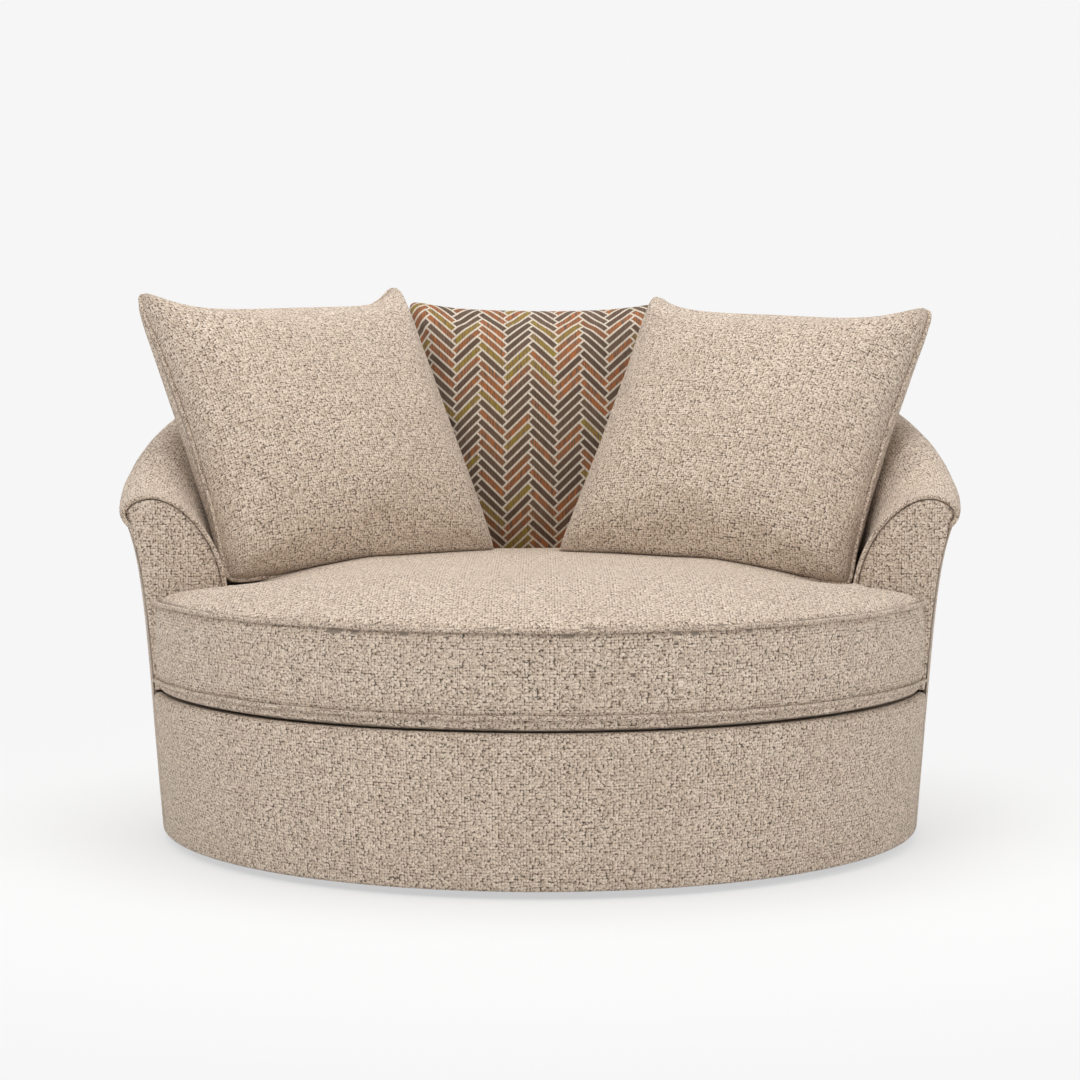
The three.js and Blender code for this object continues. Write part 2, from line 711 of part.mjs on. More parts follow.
// Timber drum frame
function planShape(radius) {
  return Array.from({ length: ringSteps }, (_, i) => {
    const p = around(radius, -2 * Math.PI * i / ringSteps, 0);
    return new THREE.Vector2(p.x, p.y);
  });
}

function board(shape, bottom, thickness, holes = []) {
  const outline = new THREE.Shape(shape);
  outline.holes = holes.map((hole) => new THREE.Path(hole));
  const geometry = new THREE.ExtrudeGeometry(outline, { depth: thickness, bevelEnabled: false });
  geometry.translate(0, 0, bottom);
  return geometry;
}

addNode("bottom_ring", board(planShape(ringOuter), ringBottom, boardThickness,
  [planShape(ringInner)]), plywood);
const seatRingBottom = seatRingTop - boardThickness;
const seatRingOuter = outsideRadius(seatRingBottom) - coverThickness - gap - softGap;
addNode("seat_ring", board(planShape(seatRingOuter), seatRingBottom, boardThickness,
  [planShape(seatRingInner)]), plywood);

const postBottom = ringBottom + boardThickness + gap;
const postHeight = seatRingBottom - gap - postBottom;
const diagonalTurnShares = [1 / 8, 3 / 8, 5 / 8, 7 / 8];
const diagonalTurns = diagonalTurnShares.map((share) => 2 * Math.PI * share);
diagonalTurns.forEach((turn, i) => {
  const place = around(postCentre, turn, 0);
  const post = new THREE.BoxGeometry(postWidth, postWidth, postHeight);
  const mesh = addNode("drum_post_" + (i + 1), post, hardwood);
  mesh.position.set(place.x, place.y, postBottom + postHeight / 2);
  mesh.rotation.z = -turn;
});

// The swivel board: two crossed beams on the bottom ring, wide in the middle for the turntable.
function crossShape() {
  const reachX = ringOuter - postInset;
  const reachY = reachX * backDepthShare;
  const h = beamWidth / 2;
  const s = swivelPlateHalf;
  return [
    [-reachX, -h], [-s, -h], [-s, -s], [-h, -s], [-h, -reachY], [h, -reachY], [h, -s], [s, -s], [s, -h],
    [reachX, -h], [reachX, h], [s, h], [s, s], [h, s], [h, reachY], [-h, reachY], [-h, s], [-s, s],
    [-s, h], [-reachX, h],
  ].map(([x, y]) => new THREE.Vector2(x, y));
}

const swivelBoardBottom = ringBottom + boardThickness + gap;
function circleShape(radius, steps, x = 0, y = 0) {
  return Array.from({ length: steps }, (_, i) => {
    const a = 2 * Math.PI * i / steps;
    return new THREE.Vector2(x + radius * Math.cos(a), y + radius * Math.sin(a));
  });
}

const boltPlace = ballPitchRadius + boltStep;
const boltHoles = diagonalTurns.map((turn) => circleShape(boltRadius + boltClearance, boltSteps,
  boltPlace * Math.cos(turn), boltPlace * Math.sin(turn)));
const middleHole = circleShape(swivelHoleRadius, raceSteps);
addNode("swivel_board", board(crossShape(), swivelBoardBottom, boardThickness,
  [middleHole, ...boltHoles]), plywood);

// Beams that carry the springs, under the seat ring's front and back.
const springRailTop = seatRingBottom - gap;
const frontRailReach = flatPlace(seatRingInner + postWidth, springRailPlace);
const rearRailReach = flatPlace(seatRingInner + postWidth, springRailPlace / backDepthShare);
for (const [name, side, reach] of [["front", -1, frontRailReach], ["rear", 1, rearRailReach]]) {
  const rail = new THREE.BoxGeometry(2 * reach, springRailWidth, springRailHeight);
  rail.translate(0, side * springRailPlace, springRailTop - springRailHeight / 2);
  addNode(name + "_spring_rail", rail, hardwood);
}

// Sinuous springs, arched up to the deck's underside between the front rail and the rear one.
const deckBottom = seatRingTop + gap;
const springBottom = springRailTop + gap + springWire / 2;
const springArch = deckBottom - gap - springWire / 2 - springBottom;
const springEndShare = 0.2; // of its full swing, at the clips
const springTaperShare = 1 / 6; // of its length, over which it widens to its full swing
function sinuousSpring() {
  const length = 2 * springRailPlace - springRailWidth / 4;
  const bends = Math.round(length / springPitch);
  const steps = bends * springBendSteps;
  const points = Array.from({ length: steps + 1 }, (_, i) => {
    const share = i / steps;
    const swing = Math.min(1, Math.min(share, 1 - share) / springTaperShare + springEndShare);
    return new THREE.Vector3(
      springSwing * swing * Math.sin(Math.PI * bends * share),
      length * (share - 1 / 2),
      springArch * Math.sin(Math.PI * share));
  });
  return bead(points, springWire / 2, new THREE.Vector3(0, 0, 1), springSides);
}

const springSpacing = 2 * (rearRailReach - springEdge) / (springCount - 1);
for (let i = 0; i < springCount; i++) {
  const spring = addNode("seat_spring_" + (i + 1), sinuousSpring(), springSteel);
  spring.position.set((i - (springCount - 1) / 2) * springSpacing, 0, springBottom);
}

// Uprights and the rail that they carry under the roll
const railTop = rollUnderside - railFit;
addNode("back_top_rail", wall([
  [uprightFront, railTop], [uprightBack, railTop],
  [uprightBack, railTop, boardThickness], [uprightFront, railTop, boardThickness],
]), plywood);

const uprightTurnShares = [-0.965, -0.5, 0, 0.5, 0.965];
uprightTurnShares.forEach((share, i) => {
  const half = radians(uprightHalfTurn) / (Math.PI / 2);
  const top = boardThickness + railFit;
  addNode("back_upright_" + (i + 1), wall([
    [uprightFront, seatRingTop + gap], [uprightBack, seatRingTop + gap],
    [uprightBack, railTop, top], [uprightFront, railTop, top],
  ], 1, share - half, share + half), hardwood);
});

// The deck of the seat and the lining under the drum
const deckFront = outsideRadius(frontTop) - coverThickness - 2 * softGap;
const deckPlan = seatPlan(deckFront, innerRadius - softGap, frontSetback + gap);
addNode("seat_deck_pad", board(deckPlan.map((p) => new THREE.Vector2(p.x, p.y)), deckBottom,
  deckTop - deckBottom), deckCloth);
const liningThickness = 1.2;
const liningClearance = 20; // round the floor disc
addNode("dust_cover", board(planShape(ringOuter - gap), ringBottom - gap - liningThickness,
  liningThickness, [planShape(floorDiscRadius + liningClearance)]), liningCloth);

// Turntable: floor disc on glides, lower race, caged balls and upper race
const discBottom = glideHeight + gap;
addNode("floor_disc", board(circleShape(floorDiscRadius, discSteps), discBottom, floorDiscThickness),
  plywood);

// A solid turned about the upright axis from a profile of radii and heights.
function turned(profile, steps) {
  const geometry = new THREE.LatheGeometry(profile.map(([r, z]) => new THREE.Vector2(r, z)), steps);
  geometry.rotateX(Math.PI / 2);
  geometry.deleteAttribute("normal");
  geometry.deleteAttribute("uv");
  return facingOut(mergeVertices(geometry, weld));
}

const glideProfile = [
  [0, 0], [glideFoot, 0], [glideRadius, glideHeight / 2], [glideRadius, glideHeight], [0, glideHeight],
];

const glidePlace = floorDiscRadius - glideInset;
[[0, -1], [1, 0], [0, 1], [-1, 0]].forEach(([x, y], i) => {
  const mesh = addNode("floor_glide_" + (i + 1), turned(glideProfile, glideSteps), nylon);
  mesh.position.set(x * glidePlace, y * glidePlace, 0);
});

function ringOf(section) {
  const rings = Array.from({ length: raceSteps }, (_, i) => {
    const a = 2 * Math.PI * i / raceSteps;
    return section.map(([r, z]) => new THREE.Vector3(r * Math.cos(a), r * Math.sin(a), z));
  });
  rings.push(rings[0]);
  return loft(rings, false);
}

const lowerRaceBottom = discBottom + floorDiscThickness + gap;
const lowerTrack = lowerRaceBottom + raceThickness;
const ballHeight = lowerTrack + gap + ballRadius;
const upperTrack = ballHeight + ballRadius + gap;
const raceIn = ballPitchRadius - raceHalfWidth;
const raceOut = ballPitchRadius + raceHalfWidth;
const lipIn = ballPitchRadius - cageHalfWidth - raceThickness;
const lipOut = ballPitchRadius + cageHalfWidth + raceThickness;
addNode("lower_race_plate", ringOf([
  [raceIn, lowerRaceBottom], [raceOut, lowerRaceBottom], [raceOut, lowerTrack],
  [lipIn, lowerTrack], [lipIn, lowerTrack + raceLipHeight],
  [lipIn - raceThickness, lowerTrack + raceLipHeight], [lipIn - raceThickness, lowerTrack],
  [raceIn, lowerTrack],
]), zincSteel);

const upperRace = ringOf([
  [raceIn, upperTrack], [raceIn, swivelBoardBottom - gap], [raceOut, swivelBoardBottom - gap],
  [raceOut, upperTrack], [lipOut, upperTrack], [lipOut, upperTrack - raceLipHeight],
  [lipOut - raceThickness / 2, upperTrack - raceLipHeight], [lipOut - raceThickness / 2, upperTrack],
]);
addNode("upper_race_plate", cut(upperRace, ...boltHoles.map((hole) =>
  board(hole, upperTrack - overrun, 2 * overrun))), zincSteel);

function ballCage() {
  const cage = ringOf([
    [ballPitchRadius - cageHalfWidth, ballHeight - cageThickness / 2],
    [ballPitchRadius + cageHalfWidth, ballHeight - cageThickness / 2],
    [ballPitchRadius + cageHalfWidth, ballHeight + cageThickness / 2],
    [ballPitchRadius - cageHalfWidth, ballHeight + cageThickness / 2],
  ]);
  const balls = Array.from({ length: ballCount }, (_, i) => {
    const a = 2 * Math.PI * i / ballCount;
    const ball = new THREE.SphereGeometry(ballRadius, 6, 4);
    ball.rotateX(Math.PI / 2);
    ball.translate(ballPitchRadius * Math.cos(a), ballPitchRadius * Math.sin(a), ballHeight);
    return ball;
  });
  return joined(cage, ...balls);
}
addNode("ball_cage", ballCage(), springSteel);

// Bolts through the upper race into the swivel board, heads up
const boltTop = swivelBoardBottom + boardThickness + gap;
const boltProfile = [
  [0, upperTrack], [boltRadius, upperTrack], [boltRadius, boltTop], [boltHeadRadius, boltTop],
  [boltHeadRadius, boltTop + boltHeadHeight], [0, boltTop + boltHeadHeight],
];
diagonalTurns.forEach((turn, i) => {
  const mesh = addNode("race_bolt_" + (i + 1), turned(boltProfile, boltSteps), zincSteel);
  mesh.position.set(boltPlace * Math.cos(turn), boltPlace * Math.sin(turn), 0);
});

export default chair;
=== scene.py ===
import math

import bmesh
import bpy
import numpy as np
from mathutils import Matrix, Vector, noise
from mathutils.bvhtree import BVHTree


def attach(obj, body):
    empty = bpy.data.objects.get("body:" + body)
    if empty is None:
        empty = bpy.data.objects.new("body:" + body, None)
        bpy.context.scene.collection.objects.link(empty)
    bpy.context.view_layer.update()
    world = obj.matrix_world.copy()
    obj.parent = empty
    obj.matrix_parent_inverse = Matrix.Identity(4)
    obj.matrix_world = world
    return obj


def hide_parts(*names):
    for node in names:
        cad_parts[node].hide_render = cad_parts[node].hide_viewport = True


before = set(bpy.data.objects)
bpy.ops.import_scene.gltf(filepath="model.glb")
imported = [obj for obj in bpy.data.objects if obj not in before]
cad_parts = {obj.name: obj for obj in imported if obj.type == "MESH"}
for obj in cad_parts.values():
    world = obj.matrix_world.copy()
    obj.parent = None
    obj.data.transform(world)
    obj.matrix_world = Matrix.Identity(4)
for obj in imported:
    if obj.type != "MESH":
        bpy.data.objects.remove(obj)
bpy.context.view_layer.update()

# Cuddle chair: a round swivel chair in tweed, with a T-shaped seat cushion and three loose pillows.
# Metres, +Z up, the front faces -Y.
stage = bpy.context.scene
rightAngle = math.pi / 2

# Camera and light
camera = {"place": (0, -4.5, 0.80), "lookDown": 4.1, "lens": 90.7}
lamps = {  # place, what it looks at, size, watts
    "key": ((-1.5, -3.4, 3.4), (0, 0, 0.35), 2.4, 64),
    "fill": ((2.4, -3.2, 2.2), (0, 0, 0.35), 3.2, 30),
    "left": ((-3.8, -1.0, 2.3), (0, 0, 0.35), 2.4, 31),
    "right": ((3.8, -1.0, 2.3), (0, 0, 0.35), 2.4, 31),
    "top": ((0, 0.3, 4.0), (0, 0, 0.4), 3.0, 82),
    "rear": ((0.6, 3.6, 2.6), (0, 0, 0.5), 3.0, 32),
}
backdrop = {"seen": (0.922, 0.922, 0.922, 1), "light": 0.35, "floorSize": 40.0, "floor": 0.86,
            "shadowReach": (0.75, 1.9), "plainShare": 0.62}


def placeCamera():
    made = bpy.data.objects.new("camera", bpy.data.cameras.new("camera"))
    stage.collection.objects.link(made)
    made.location = camera["place"]
    made.rotation_euler = (rightAngle - math.radians(camera["lookDown"]), 0, 0)
    made.data.lens = camera["lens"]
    made.data.clip_end = 60
    stage.camera = made


placeCamera()


# Shader maths: a socket that takes arithmetic
class Thread:
    def __init__(self, tree, socket=None):
        self.tree = tree
        self.socket = socket

    def node(self, kind, settings=None, inputs=None, output=0):
        made = self.tree.nodes.new(kind)
        for name, value in (settings or {}).items():
            if name == "stops":
                setStops(made.color_ramp, value)
            else:
                setattr(made, name, value)
        for name, value in (inputs or {}).items():
            if isinstance(value, Thread):
                self.tree.links.new(value.socket, made.inputs[name])
            else:
                made.inputs[name].default_value = value
        return Thread(self.tree, made.outputs[output])

    def maths(self, operation, *values):
        return self.node("ShaderNodeMath", {"operation": operation}, dict(enumerate(values)))

    def __add__(self, other):
        return self.maths("ADD", self, other)

    def __sub__(self, other):
        return self.maths("SUBTRACT", self, other)

    def __mul__(self, other):
        return self.maths("MULTIPLY", self, other)

    def __mod__(self, other):
        return self.maths("FLOORED_MODULO", self, other)

    def __gt__(self, other):
        return self.maths("GREATER_THAN", self, other)

    def __rsub__(self, other):
        return self.maths("SUBTRACT", other, self)

    __radd__ = __add__
    __rmul__ = __mul__

    def floor(self):
        return self.maths("FLOOR", self)

    def fraction(self):
        return self.maths("FRACT", self)

    def sine(self):
        return self.maths("SINE", self)

    def least(self, other):
        return self.maths("MINIMUM", self, other)

    def between(self, low, high):  # 0 at low, 1 at high, smooth
        return self.node("ShaderNodeMapRange", {"interpolation_type": "SMOOTHSTEP"},
                         {"Value": self, "From Min": low, "From Max": high})

    def ramp(self, stops):
        return self.node("ShaderNodeValToRGB", {"stops": stops}, {"Fac": self})

    def vector(self, operation, *others):
        return self.node("ShaderNodeVectorMath", {"operation": operation}, dict(enumerate((self, *others))))

    def stretched(self, x, y, z=1.0):
        return self.vector("MULTIPLY", (x, y, z))

    def moved(self, x, y, z=0.0):
        return self.vector("ADD", (x, y, z))

    def axis(self, index):
        return self.node("ShaderNodeSeparateXYZ", {}, {"Vector": self}, index)

    def paired(self, other):
        return self.node("ShaderNodeCombineXYZ", {}, {"X": self, "Y": other})

    def noise(self, scale, detail=1.0, output="Fac"):
        return self.node("ShaderNodeTexNoise", {}, {"Vector": self, "Scale": scale, "Detail": detail},
                         output)

    def cells(self, output, randomness=0.9, space="2D"):
        return self.node("ShaderNodeTexVoronoi", {"voronoi_dimensions": space},
                         {"Vector": self, "Scale": 1.0, "Randomness": randomness}, output)

    def mixed(self, other, share):
        return self.node("ShaderNodeMix", {"data_type": "RGBA"}, {0: share, 6: self, 7: other}, 2)

    def bump(self, distance):
        return self.node("ShaderNodeBump", {}, {"Height": self, "Distance": distance, "Strength": 1.0},
                         "Normal")


def setStops(ramp, stops):
    while len(ramp.elements) < len(stops):
        ramp.elements.new(1.0)
    for element, (position, colour) in zip(ramp.elements, stops):
        element.position = position
        element.color = colour


def paint(red, green, blue):  # 0 to 255, as seen on a screen
    return tuple(v / 12.92 if v <= 0.04045 else ((v + 0.055) / 1.055) ** 2.4
                 for v in (red / 255, green / 255, blue / 255)) + (1.0,)


def newFinish(name, roughness=0.9, metallic=0.0, sheen=0.0, specular=0.5):
    finish = bpy.data.materials.new(name)
    finish.use_nodes = True
    shader = finish.node_tree.nodes["Principled BSDF"]
    shader.inputs["Roughness"].default_value = roughness
    shader.inputs["Metallic"].default_value = metallic
    shader.inputs["Specular IOR Level"].default_value = specular
    shader.inputs["Sheen Weight"].default_value = sheen
    shader.inputs["Sheen Roughness"].default_value = 0.6
    start = Thread(finish.node_tree)

    def wear(**threads):  # feeds the shader's sockets
        for socket, thread in threads.items():
            finish.node_tree.links.new(thread.socket, shader.inputs[socket.replace("_", " ")])
    return finish, start, wear


def clothPlace(start):  # where a point lies on its cloth, in metres
    return start.node("ShaderNodeAttribute", {"attribute_name": "clothPlace"}, {}, "Vector")


def solidPlace(start):
    return start.node("ShaderNodeTexCoord", {}, {}, "Object")


# Chenille tweed: short slubs of yarn across and along, each its own tone, with painted shade in the hollows
# between them and a painted highlight on their tops
woolly = {"roughness": 0.94, "sheen": 0.1, "specular": 0.2}
tweed = {
    "pitch": 0.0040, "slub": 1.1, "evenness": 0.6, "relief": 0.0014, "warpShift": (0.31, 0.17),
    "wander": 0.0013, "wanderScale": 320, "patchScale": 210, "patchEdge": (0.42, 0.58),
    "shades": [(0.0, paint(181, 160, 140)), (0.5, paint(206, 187, 168)), (1.0, paint(229, 212, 194))],
    # painted shade in the hollows between the yarns: its colour, how far it reaches and how strong it is
    "hollow": paint(50, 38, 29), "hollowReach": (0.30, 0.62), "hollowShare": 0.9,
    # painted highlight on the tops of the yarns: its colour, how far it reaches and how strong it is
    "crown": paint(252, 243, 232), "highlightReach": (0.7, 0.98), "highlightShare": 0.35,
    "cloud": paint(172, 151, 132), "cloudReach": (0.42, 0.75), "cloudShare": 0.14, "cloudScale": 7,
    "fuzzScale": 2400, "fuzzShare": 0.2,
}


def tweedFinish():
    finish, start, wear = newFinish("tweed", **woolly)
    place = clothPlace(start)
    pitch, slub, spread = tweed["pitch"], tweed["pitch"] * tweed["slub"], tweed["evenness"]
    wander = place.noise(tweed["wanderScale"], output="Color").vector("SUBTRACT", (0.5,) * 3)
    loose = wander.vector("MULTIPLY_ADD", (tweed["wander"],) * 3, place)
    weft = loose.stretched(1 / slub, 1 / pitch)
    warp = loose.moved(*tweed["warpShift"]).stretched(1 / pitch, 1 / slub)
    over = place.noise(tweed["patchScale"]).between(*tweed["patchEdge"])
    under = 1 - over
    height = (1 - weft.cells("Distance", spread)) * over + (1 - warp.cells("Distance", spread)) * under
    chance = weft.cells("Color", spread).axis(0) * over + warp.cells("Color", spread).axis(0) * under
    # painted shade: darkens the hollows between the yarns, where the yarn height is low
    hollow = (1 - height.between(*tweed["hollowReach"])) * tweed["hollowShare"]
    # painted highlight: lightens the tops of the yarns, where the yarn height is greatest
    crown = height.between(*tweed["highlightReach"]) * tweed["highlightShare"]
    cloud = place.noise(tweed["cloudScale"], 3.0).between(*tweed["cloudReach"]) * tweed["cloudShare"]
    colour = chance.ramp(tweed["shades"]).mixed(tweed["hollow"], hollow)
    colour = colour.mixed(tweed["crown"], crown).mixed(tweed["cloud"], cloud)
    fuzz = place.noise(tweed["fuzzScale"]) * tweed["fuzzShare"]
    wear(Base_Color=colour, Normal=(height + fuzz).bump(tweed["relief"]))
    return finish


# The same yarns round the pipings, whose bias cut breaks the rows up into even cells, with the same painted
# shade in the hollows between them
pipingCloth = {"cell": 0.0024, "relief": 0.0008, "hollowReach": (0.2, 0.6), "hollowShare": 0.75}


def pipingFinish():
    finish, start, wear = newFinish("piping", **woolly)
    place = solidPlace(start).vector("DIVIDE", (pipingCloth["cell"],) * 3)
    colour = place.cells("Color", 1.0, "3D").axis(0).ramp(tweed["shades"])
    height = 1 - place.cells("Distance", 1.0, "3D")
    # painted shade: darkens the hollows between the cells
    hollow = (1 - height.between(*pipingCloth["hollowReach"])) * pipingCloth["hollowShare"]
    wear(Base_Color=colour.mixed(tweed["hollow"], hollow), Normal=height.bump(pipingCloth["relief"]))
    return finish


# Herringbone of outlined bars in a ribbed weave: brown ground, cream lines, rust and olive accents
barCloth = {
    "width": 0.0130, "barsLong": 5, "wander": 0.0012, "wanderScale": 700, "wanderStretch": 0.25,
    "relief": 0.0010, "reliefShares": (0.6, 0.7, 0.4), "line": 0.135, "lineEdge": (0.75, 1.3),
    "cream": paint(238, 224, 205), "fadeReach": (0.2, 0.5), "fade": 0.22,
    "browns": [(0.0, paint(82, 64, 51)), (0.45, paint(112, 91, 75)), (0.8, paint(146, 124, 105))],
    "barShare": 0.45, "streakShare": 0.7, "darker": 0.1, "streakScale": 520, "streakLength": 0.06,
    "dyes": [  # from which chance on, how strong, its colour
        (0.52, 0.9, paint(188, 112, 58)), (0.80, 0.95, paint(154, 138, 56)), (0.95, 0.8, paint(144, 66, 60)),
    ],
    "dyeReach": (0.36, 0.6), "rib": 0.0028, "ribScale": 60, "ribWander": 3, "slub": (0.0024, 0.006),
    "shadow": paint(48, 36, 28), "ribShadow": 0.26, "slubShadow": 0.12,
}


def barClothFinish():
    finish, start, wear = newFinish("bar_cloth", roughness=0.9, sheen=0.08, specular=0.25)
    place = clothPlace(start)
    x, y = place.axis(0), place.axis(1)
    drift = place.stretched(1, barCloth["wanderStretch"]).noise(barCloth["wanderScale"])
    wander = drift * barCloth["wander"]
    turned = 1 / (math.sqrt(2) * barCloth["width"])
    across = (x + y + wander) * turned
    up = (y - x + wander) * turned
    column, row = across.floor(), up.floor()
    partAcross, partUp = across.fraction(), up.fraction()
    long = barCloth["barsLong"]
    step = (column - row) % (2 * long)
    standing = step > long - 0.5
    lying = 1 - standing
    fall = step - long
    lengthwise = lying * (step + partAcross) + standing * (fall + 1 - partUp)
    side = lying * partUp + standing * partAcross
    barColumn = lying * (column - step) + standing * column
    barRow = lying * row + standing * (row + fall)
    edge = lengthwise.least(long - lengthwise).least(side.least(1 - side))
    inside, outside = (barCloth["line"] * share for share in barCloth["lineEdge"])
    line = 1 - edge.between(inside, outside)
    bar = barColumn.paired(barRow)
    chance = bar.node("ShaderNodeTexWhiteNoise", {"noise_dimensions": "2D"}, {"Vector": bar}, "Value")
    streak = place.stretched(1, barCloth["streakLength"]).noise(barCloth["streakScale"], 2.0)
    tone = chance * barCloth["barShare"] + streak * barCloth["streakShare"] - barCloth["darker"]
    colour = tone.ramp(barCloth["browns"])
    dyed = streak.between(*barCloth["dyeReach"])
    for above, share, dye in barCloth["dyes"]:
        colour = colour.mixed(dye, ((chance > above) * dyed) * share)
    fade = barCloth["fade"]
    faded = streak.between(*barCloth["fadeReach"]) * fade + (1 - fade)
    colour = colour.mixed(barCloth["cream"], line * faded)
    ribTurn = x * (2 * math.pi / barCloth["rib"]) + place.noise(barCloth["ribScale"]) * barCloth["ribWander"]
    rib = ribTurn.sine() * 0.5 + 0.5
    slub = place.stretched(*(1 / size for size in barCloth["slub"])).cells("Color").axis(0)
    shadow = (1 - rib) * barCloth["ribShadow"] + slub * barCloth["slubShadow"]
    ribShare, lineShare, slubShare = barCloth["reliefShares"]
    height = rib * ribShare + line * lineShare + slub * slubShare
    wear(Base_Color=colour.mixed(barCloth["shadow"], shadow), Normal=height.bump(barCloth["relief"]))
    return finish


# Plain cloths under and behind: deck cloth, black lining and zip tape
plainWeave = {"slubStretch": (0.3, 1.2), "weaveShare": 0.45, "slubRelief": 0.5, "stops": (0.2, 0.8)}


def plainCloth(name, thread, dark, light, relief):
    finish, start, wear = newFinish(name, roughness=0.95, sheen=0.05, specular=0.2)
    spot = solidPlace(start).stretched(1 / thread, 1 / thread, 1 / thread)
    weave = (spot.axis(0) * math.pi).sine() * (spot.axis(1) * math.pi).sine() * 0.5 + 0.5
    slub = spot.stretched(*plainWeave["slubStretch"]).noise(1.0, 2.0)
    share = plainWeave["weaveShare"]
    colour = (weave * share + slub * (1 - share)).ramp(list(zip(plainWeave["stops"], (dark, light))))
    wear(Base_Color=colour, Normal=(weave + slub * plainWeave["slubRelief"]).bump(relief))
    return finish


timber = {
    "fibres": 9, "ringShare": 0.7, "stops": (0.3, 0.5, 0.68), "blotchReach": (0.55, 0.8), "blotchShare": 0.4,
    "roughness": 0.62, "smoothest": 0.5, "fibreRoughness": 0.25, "ringRelief": 0.4, "relief": 0.0004,
}


def woodFinish(name, dark, light, grain, knots):
    finish, start, wear = newFinish(name, roughness=timber["roughness"], specular=0.35)
    place = solidPlace(start)
    rings = place.stretched(*grain).noise(1.0, 4.0)
    fibres = place.stretched(*(scale * timber["fibres"] for scale in grain)).noise(1.0, 2.0)
    tone = rings * timber["ringShare"] + fibres * (1 - timber["ringShare"])
    colour = tone.ramp(list(zip(timber["stops"], (dark, light, dark))))
    blotch = place.noise(knots, 3.0).between(*timber["blotchReach"])
    wear(Base_Color=colour.mixed(dark, blotch * timber["blotchShare"]),
         Roughness=fibres * timber["fibreRoughness"] + timber["smoothest"],
         Normal=(rings * timber["ringRelief"] + fibres).bump(timber["relief"]))
    return finish


ply = {
    "thick": 0.0036, "grain": (5, 60, 5), "edge": (-0.3, 0.3), "flatReach": (0.4, 0.8), "relief": 0.0003,
    "face": [(0.3, paint(196, 160, 116)), (0.6, paint(222, 190, 148))],
    "plies": [(0.2, paint(148, 108, 70)), (0.8, paint(214, 180, 138))], "plyRelief": 0.3,
    "roughness": 0.6, "smoothest": 0.45, "grainRoughness": 0.3,
}


def plyFinish():  # the plies show on the edges as thin stripes
    finish, start, wear = newFinish("plywood", roughness=ply["roughness"], specular=0.35)
    place = solidPlace(start)
    grain = place.stretched(*ply["grain"]).noise(1.0, 4.0)
    plies = (place.axis(2) * (2 * math.pi / ply["thick"])).sine().between(*ply["edge"])
    upright = start.node("ShaderNodeNewGeometry", {}, {}, "Normal").axis(2)
    flat = (upright * upright).between(*ply["flatReach"])
    wear(Base_Color=plies.ramp(ply["plies"]).mixed(grain.ramp(ply["face"]), flat),
         Roughness=grain * ply["grainRoughness"] + ply["smoothest"],
         Normal=(grain + plies * ply["plyRelief"]).bump(ply["relief"]))
    return finish


metal = {"spotScale": 60, "spotReach": (0.5, 0.75), "spotShare": 0.5, "stops": (0.3, 0.7), "relief": 0.0002,
         "brushedRoughness": 0.2, "spotRoughness": 0.15}


def metalFinish(name, dark, light, streaks, roughness):
    finish, start, wear = newFinish(name, roughness=roughness, metallic=1.0)
    place = solidPlace(start)
    brushed = place.stretched(*streaks).noise(1.0, 3.0)
    spots = place.noise(metal["spotScale"], 4.0).between(*metal["spotReach"])
    colour = brushed.ramp(list(zip(metal["stops"], (dark, light)))).mixed(dark, spots * metal["spotShare"])
    rough = brushed * metal["brushedRoughness"] + spots * metal["spotRoughness"]
    smoothest = roughness - metal["brushedRoughness"] / 2
    wear(Base_Color=colour, Roughness=rough + smoothest, Normal=brushed.bump(metal["relief"]))
    return finish


nylon = {"grain": 1400, "scuff": (40, 300, 40), "scuffReach": (0.55, 0.8), "relief": 0.0002,
         "shades": [(0.0, paint(30, 30, 31)), (1.0, paint(74, 74, 74))],
         "roughness": 0.45, "smoothest": 0.4, "scuffRoughness": 0.3}


def nylonFinish():
    finish, start, wear = newFinish("nylon", roughness=nylon["roughness"])
    place = solidPlace(start)
    grain = place.noise(nylon["grain"], 2.0)
    scuff = place.stretched(*nylon["scuff"]).noise(1.0, 3.0).between(*nylon["scuffReach"])
    wear(Base_Color=scuff.ramp(nylon["shades"]),
         Roughness=scuff * nylon["scuffRoughness"] + nylon["smoothest"],
         Normal=grain.bump(nylon["relief"]))
    return finish


finishes = {
    "tweed": tweedFinish(),
    "piping": pipingFinish(),
    "bars": barClothFinish(),
    "deck": plainCloth("deck_cloth", 0.0012, paint(122, 106, 90), paint(172, 156, 138), 0.0004),
    "lining": plainCloth("lining", 0.0016, paint(26, 24, 23), paint(58, 54, 50), 0.0003),
    "tape": plainCloth("zip_tape", 0.0009, paint(44, 36, 31), paint(84, 72, 63), 0.0003),
    "plywood": plyFinish(),
    "hardwood": woodFinish("hardwood", paint(132, 92, 56), paint(186, 142, 98), (22, 22, 3), 9),
    "spring": metalFinish("spring_steel", paint(84, 86, 88), paint(148, 150, 154), (300, 40, 300), 0.38),
    "zinc": metalFinish("zinc_steel", paint(150, 154, 158), paint(206, 209, 212), (90, 90, 20), 0.34),
    "brass": metalFinish("zip_brass", paint(84, 64, 38), paint(168, 138, 88), (500, 500, 500), 0.4),
    "nylon": nylonFinish(),
}
print("finishes ready")

# The CAD nodes that keep their own shape
nodeFinishes = {
    "plywood": ["bottom_ring", "seat_ring", "swivel_board", "back_top_rail", "floor_disc"],
    "hardwood": ["drum_post_", "back_upright_", "front_spring_rail", "rear_spring_rail"],
    "spring": ["seat_spring_"],
    "zinc": ["lower_race_plate", "upper_race_plate", "race_bolt_", "ball_cage"],
    "brass": ["seat_zip_slider", "left_pillow_zip_slider", "right_pillow_zip_slider", "scatter_zip_slider"],
    "nylon": ["floor_glide_"],
}
for finishName, starts in nodeFinishes.items():
    for nodeName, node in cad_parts.items():
        if nodeName.startswith(tuple(starts)):
            node.data.materials.clear()
            node.data.materials.append(finishes[finishName])


